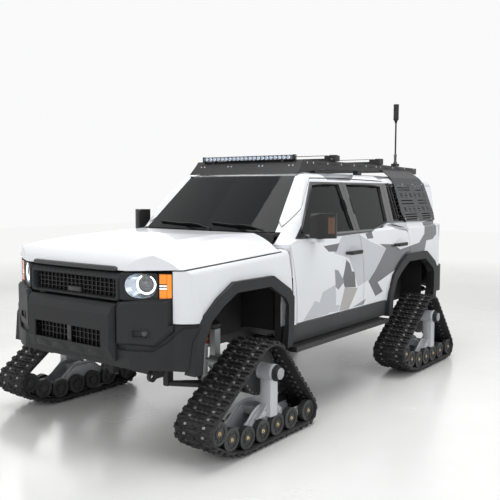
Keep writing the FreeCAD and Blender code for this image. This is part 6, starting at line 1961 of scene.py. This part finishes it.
def buildCabinDetails():
    # screen, vents, instrument hood, gear lever, interior mirror, sun visors
    forms = [blockForm((0.560, -0.150, 1.352), (0.575, 0.150, 1.448), 0.005, 1, 2)]
    forms.append(blockForm((0.556, -0.142, 1.358), (0.5605, 0.142, 1.442), 0.002, 2, 1))
    hood = [(0.600, 0.230, 1.372), (0.590, 0.260, 1.415), (0.585, 0.380, 1.430), (0.590, 0.500, 1.415),
            (0.600, 0.530, 1.372)]
    forms.append(sweepForm(evenly3(hood, 22), roundedBox(0.014, 0.075, 0.006, 2), up=(1, 0, 0.01)))
    for y in (-0.62, -0.28, 0.20, 0.62):
        forms.append(blockForm((0.552, y - 0.055, 1.300), (0.572, y + 0.055, 1.345), 0.005, 1, 2))
    forms.append(latheForm([(0.010, 1.030), (0.034, 1.032), (0.016, 1.060), (0.010, 1.120), (0.024, 1.140),
                            (0.026, 1.165), (0.016, 1.180), (0.002, 1.182)], 24, "z", (0.300, 0.0, 0.0)))
    forms.append(blockForm((0.505, -0.115, 1.745), (0.530, 0.115, 1.805), 0.010, 1, 3))
    forms.append(tubeForm([(0.528, 0, 1.780), (0.545, 0, 1.800), (0.556, 0, 1.818)], 0.007, 10,
                          up=(0, 1, 0)))
    for y in (-0.36, 0.36):
        forms.append(blockForm((0.375, y - 0.18, 1.862), (0.505, y + 0.18, 1.874), 0.004, 3, 2))
    return forms


piece("cabin_details", "vehicle", buildCabinDetails(), ["trim", "glossBlack", "darkLens", "trim"],
      "cabin_trim")


def buildRimDetails():
    # airbag cover and spoke pads, in the wheel's own lean
    centre = np.array([0.4425, 0.380, 1.325])
    pad = latheForm([(0.002, 0.004), (0.060, 0.004), (0.064, 0.014), (0.050, 0.026), (0.020, 0.031),
                     (0.002, 0.032)],
                    36, "x", finish=0)
    forms = [moved(moved(pad, turn=(0, 0, 180)), turn=(0, 25, 0), to=centre)]
    for side in (1, -1):
        keys = blockForm((-0.026, side * 0.105 - 0.026, -0.016), (-0.006, side * 0.105 + 0.026, 0.016),
                         0.006, 1, 2)
        forms.append(moved(keys, turn=(0, 25, 0), to=centre))
    return forms


piece("steering_wheel_cover", "steering_wheel", buildRimDetails(), ["trim", "glossBlack"], "cabin_trim")
print("cabin fitted")
# front struts: red coils round yellow sleeves, over pale damper bodies
strut = {"y": 0.520, "x": 1.572, "coilLow": 0.664, "coilHigh": 1.150, "coilRadius": 0.052, "wire": 0.0085,
         "turns": 6.5}


def buildCoil():
    # helix: radius and height as functions of one angle, the end turns lying flat
    share = np.linspace(0, 1, 240)
    angle = share * strut["turns"] * 2 * math.pi
    eased = share - np.sin(2 * math.pi * share) * 0.035
    height = strut["coilLow"] + (strut["coilHigh"] - strut["coilLow"]) * eased
    path = np.column_stack([strut["x"] + strut["coilRadius"] * np.cos(angle),
                            strut["y"] + strut["coilRadius"] * np.sin(angle), height])
    return [tubeForm(path, strut["wire"], 10)]


# turned parts as (profile of radius and height, finish)
damper = [
    ([(0.002, 0.372), (0.020, 0.372), (0.0225, 0.380), (0.0225, 0.560), (0.0240, 0.566), (0.0240, 0.640),
            (0.0500, 0.644), (0.0550, 0.650), (0.0540, 0.656), (0.0260, 0.660), (0.002, 0.660)], 0),
    ([(0.002, 0.660), (0.0235, 0.660), (0.0245, 0.668), (0.0245, 0.880), (0.0225, 0.890), (0.002, 0.890)],
     1),
    ([(0.002, 0.880), (0.0085, 0.880), (0.0085, 1.170), (0.002, 1.170)], 2),
    ([(0.002, 1.158), (0.056, 1.158), (0.060, 1.166), (0.058, 1.180), (0.036, 1.186), (0.034, 1.215),
           (0.022, 1.232), (0.010, 1.236), (0.010, 1.256), (0.002, 1.258)], 3),
]


def buildDamper():
    # body, sleeve, rod and top mount in one line, then the lower eye, the reservoir and its clamp
    at = (strut["x"], strut["y"], 0)
    rings = [latheForm(profile, 32, "z", at, finish) for profile, finish in damper]
    eye = latheForm([(0.008, -0.022), (0.024, -0.022), (0.026, -0.018), (0.026, 0.018), (0.024, 0.022),
                     (0.008, 0.022)], 28, "x", (strut["x"], strut["y"], 0.374), 3)
    reservoir = latheForm([(0.002, 0.690), (0.020, 0.690), (0.024, 0.696), (0.024, 0.860), (0.020, 0.868),
                           (0.002, 0.868)], 24, "z", (strut["x"] - 0.036, strut["y"] - 0.062, 0), 0)
    clamp = blockForm((strut["x"] - 0.045, strut["y"] - 0.075, 0.735),
                      (strut["x"] - 0.010, strut["y"] - 0.020, 0.755),
                      0.004, 3, 2)
    return rings + [eye, reservoir, clamp]


bothSides("front_coil_spring", "vehicle", buildCoil(), ["springRed"], slot="frame_metal", smooth=60.0)
bothSides("front_damper_unit", "vehicle", buildDamper(),
          ["damperWhite", "damperYellow", "steel", "castMetal"], slot="frame_metal")
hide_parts("front_dampers")


def buildRunningGear():
    # brake hoses, cross brace, gearbox guard ribs, prop shaft joints
    forms = []
    hose = [(1.50, 0.585, 0.575), (1.44, 0.560, 0.640), (1.42, 0.500, 0.720), (1.45, 0.470, 0.790)]
    for path in (hose, [(x, -y, z) for x, y, z in hose]):
        forms.append(tubeForm(evenly3(path, 16), 0.006, 8))
    for x in (-1.10, -0.20, 0.70):
        for side in (1, -1):
            forms.append(latheForm([(0.001, 0.0), (0.011, 0.0), (0.011, 0.008), (0.001, 0.010)], 10, "y",
                                   (x, side * 0.492, 0.640), 1))
    for x in (0.90, 0.98, 1.06, 1.14, 1.22):
        forms.append(blockForm((x, -0.34, 0.598), (x + 0.012, 0.34, 0.604), 0.002, 2, 1, "y"))
    forms.append(blockForm((0.88, -0.36, 0.602), (1.26, 0.36, 0.608), 0.002, 2, 1, "y"))
    return forms


piece("running_gear_details", "vehicle", buildRunningGear(), ["seal", "steel", "steelDark"], "frame_metal")
print("underside detailed")
# tail: lamp covers with inner bars, gate handle strip, plate recess, wiper, bumper trim


def onTail(members, y, z, lift=0.0):
    return castOn(members, [(-3.0, a, b) for a, b in zip(y, z)], (1, 0, 0), lift)


def tailPatch(members, y0, y1, z0, z1, lift, columns=14, rows=8, finish=0, depth=0.006):
    # a sheet laid over the named nodes between two heights, with its own thickness
    y = np.linspace(y0, y1, columns)
    layers = []
    for z in np.linspace(z0, z1, rows):
        layers.append(onTail(members, y, np.full(columns, z), lift))
    if min(len(layer) for layer in layers) < columns:
        return None
    face = np.array(layers)
    ring = np.concatenate([face, (face + np.array([depth, 0, 0]))[:, ::-1]], axis=1)
    return gridForm(ring, caps=True, finish=finish)


# patches as (from y, to y, from z, to z, lift, finish, depth)
tailPatches = {
    "tail_lamps": (14, 8, [(0.745, 0.835, 1.120, 1.225, 0.003, 0, 0.006),
                           (0.745, 0.835, 1.232, 1.282, 0.003, 1, 0.006),
                           (0.745, 0.835, 1.289, 1.338, 0.003, 0, 0.006),
                           (0.755, 0.825, 1.150, 1.160, 0.006, 2, 0.006),
                           (0.755, 0.825, 1.182, 1.192, 0.006, 2, 0.006)]),
    "tailgate": (18, 7, [(-0.30, 0.30, 1.205, 1.262, 0.010, 0, 0.016),
                         (-0.26, 0.26, 1.075, 1.190, 0.003, 1, 0.006),
                         (-0.24, 0.24, 1.085, 1.180, 0.0045, 2, 0.004)]),
    "rear_bumper": (16, 6, [(0.52, 0.66, 0.800, 0.835, 0.004, 1, 0.006),
                            (-0.66, -0.52, 0.800, 0.835, 0.004, 1, 0.006),
                            (-0.46, 0.46, 0.905, 0.955, 0.005, 0, 0.006)]),
}


def patchesOn(node):
    columns, rows, patches = tailPatches[node]
    forms = [tailPatch((node,), *place, columns, rows, finish, depth) for *place, finish, depth in patches]
    return [form for form in forms if form is not None]


bothSides("tail_lamp_cover", "vehicle", patchesOn("tail_lamps"), ["redLens", "clearLens", "darkRed"],
          slot="tail_lens")
piece("tailgate_trim", "tailgate", patchesOn("tailgate"), ["charcoal", "seal", "damperWhite"],
      "charcoal_plastic")


def buildRearWiper():
    share = np.linspace(0, 1, 18)
    y = -0.02 - 0.36 * share
    z = 1.500 + 0.020 * share
    blade = onTail(("tailgate_glass", "tailgate"), y, z, 0.007)
    forms = [sweepForm(blade, roundedBox(0.010, 0.013, 0.003, 2), up=(-1, 0, 0.2), finish=1)]
    arm = onTail(("tailgate_glass", "tailgate"), 0.0 - 0.20 * share, 1.462 + 0.045 * share, 0.017)
    forms.append(sweepForm(arm, roundedBox(0.014, 0.010, 0.003, 2), up=(-1, 0, 0.2),
                           scale=np.linspace(1.3, 0.8, 18)))
    foot = arm[0]
    forms.append(latheForm([(0.002, -0.014), (0.020, -0.012), (0.024, 0.004), (0.024, 0.020),
                            (0.002, 0.020)], 24, "x",
                           (foot[0], foot[1], foot[2])))
    return forms


piece("rear_wiper", "tailgate", buildRearWiper(), ["blackPlastic", "seal"], "charcoal_plastic")


def buildRearBumper():
    forms = patchesOn("rear_bumper")
    rib = np.linspace(-0.44, 0.44, 30)
    for z in (0.917, 0.930, 0.943):
        line = onTail(("rear_bumper",), rib, np.full(30, z), 0.006)
        if len(line) == 30:
            forms.append(tubeForm(line, 0.002, 6, finish=2))
    for y in (-0.60, -0.36, 0.36, 0.60):
        spot = onTail(("rear_bumper",), [y], [0.875], 0.001)
        if len(spot):
            sensor = latheForm([(0.001, -0.003), (0.009, -0.003), (0.010, 0.0), (0.010, 0.004),
                                (0.001, 0.004)], 20, "x",
                               tuple(spot[0]), 2)
            forms.append(sensor)
    return forms


piece("rear_bumper_trim", "vehicle", buildRearBumper(), ["charcoal", "redLens", "blackPlastic"],
      "charcoal_plastic")
print("tail dressed")
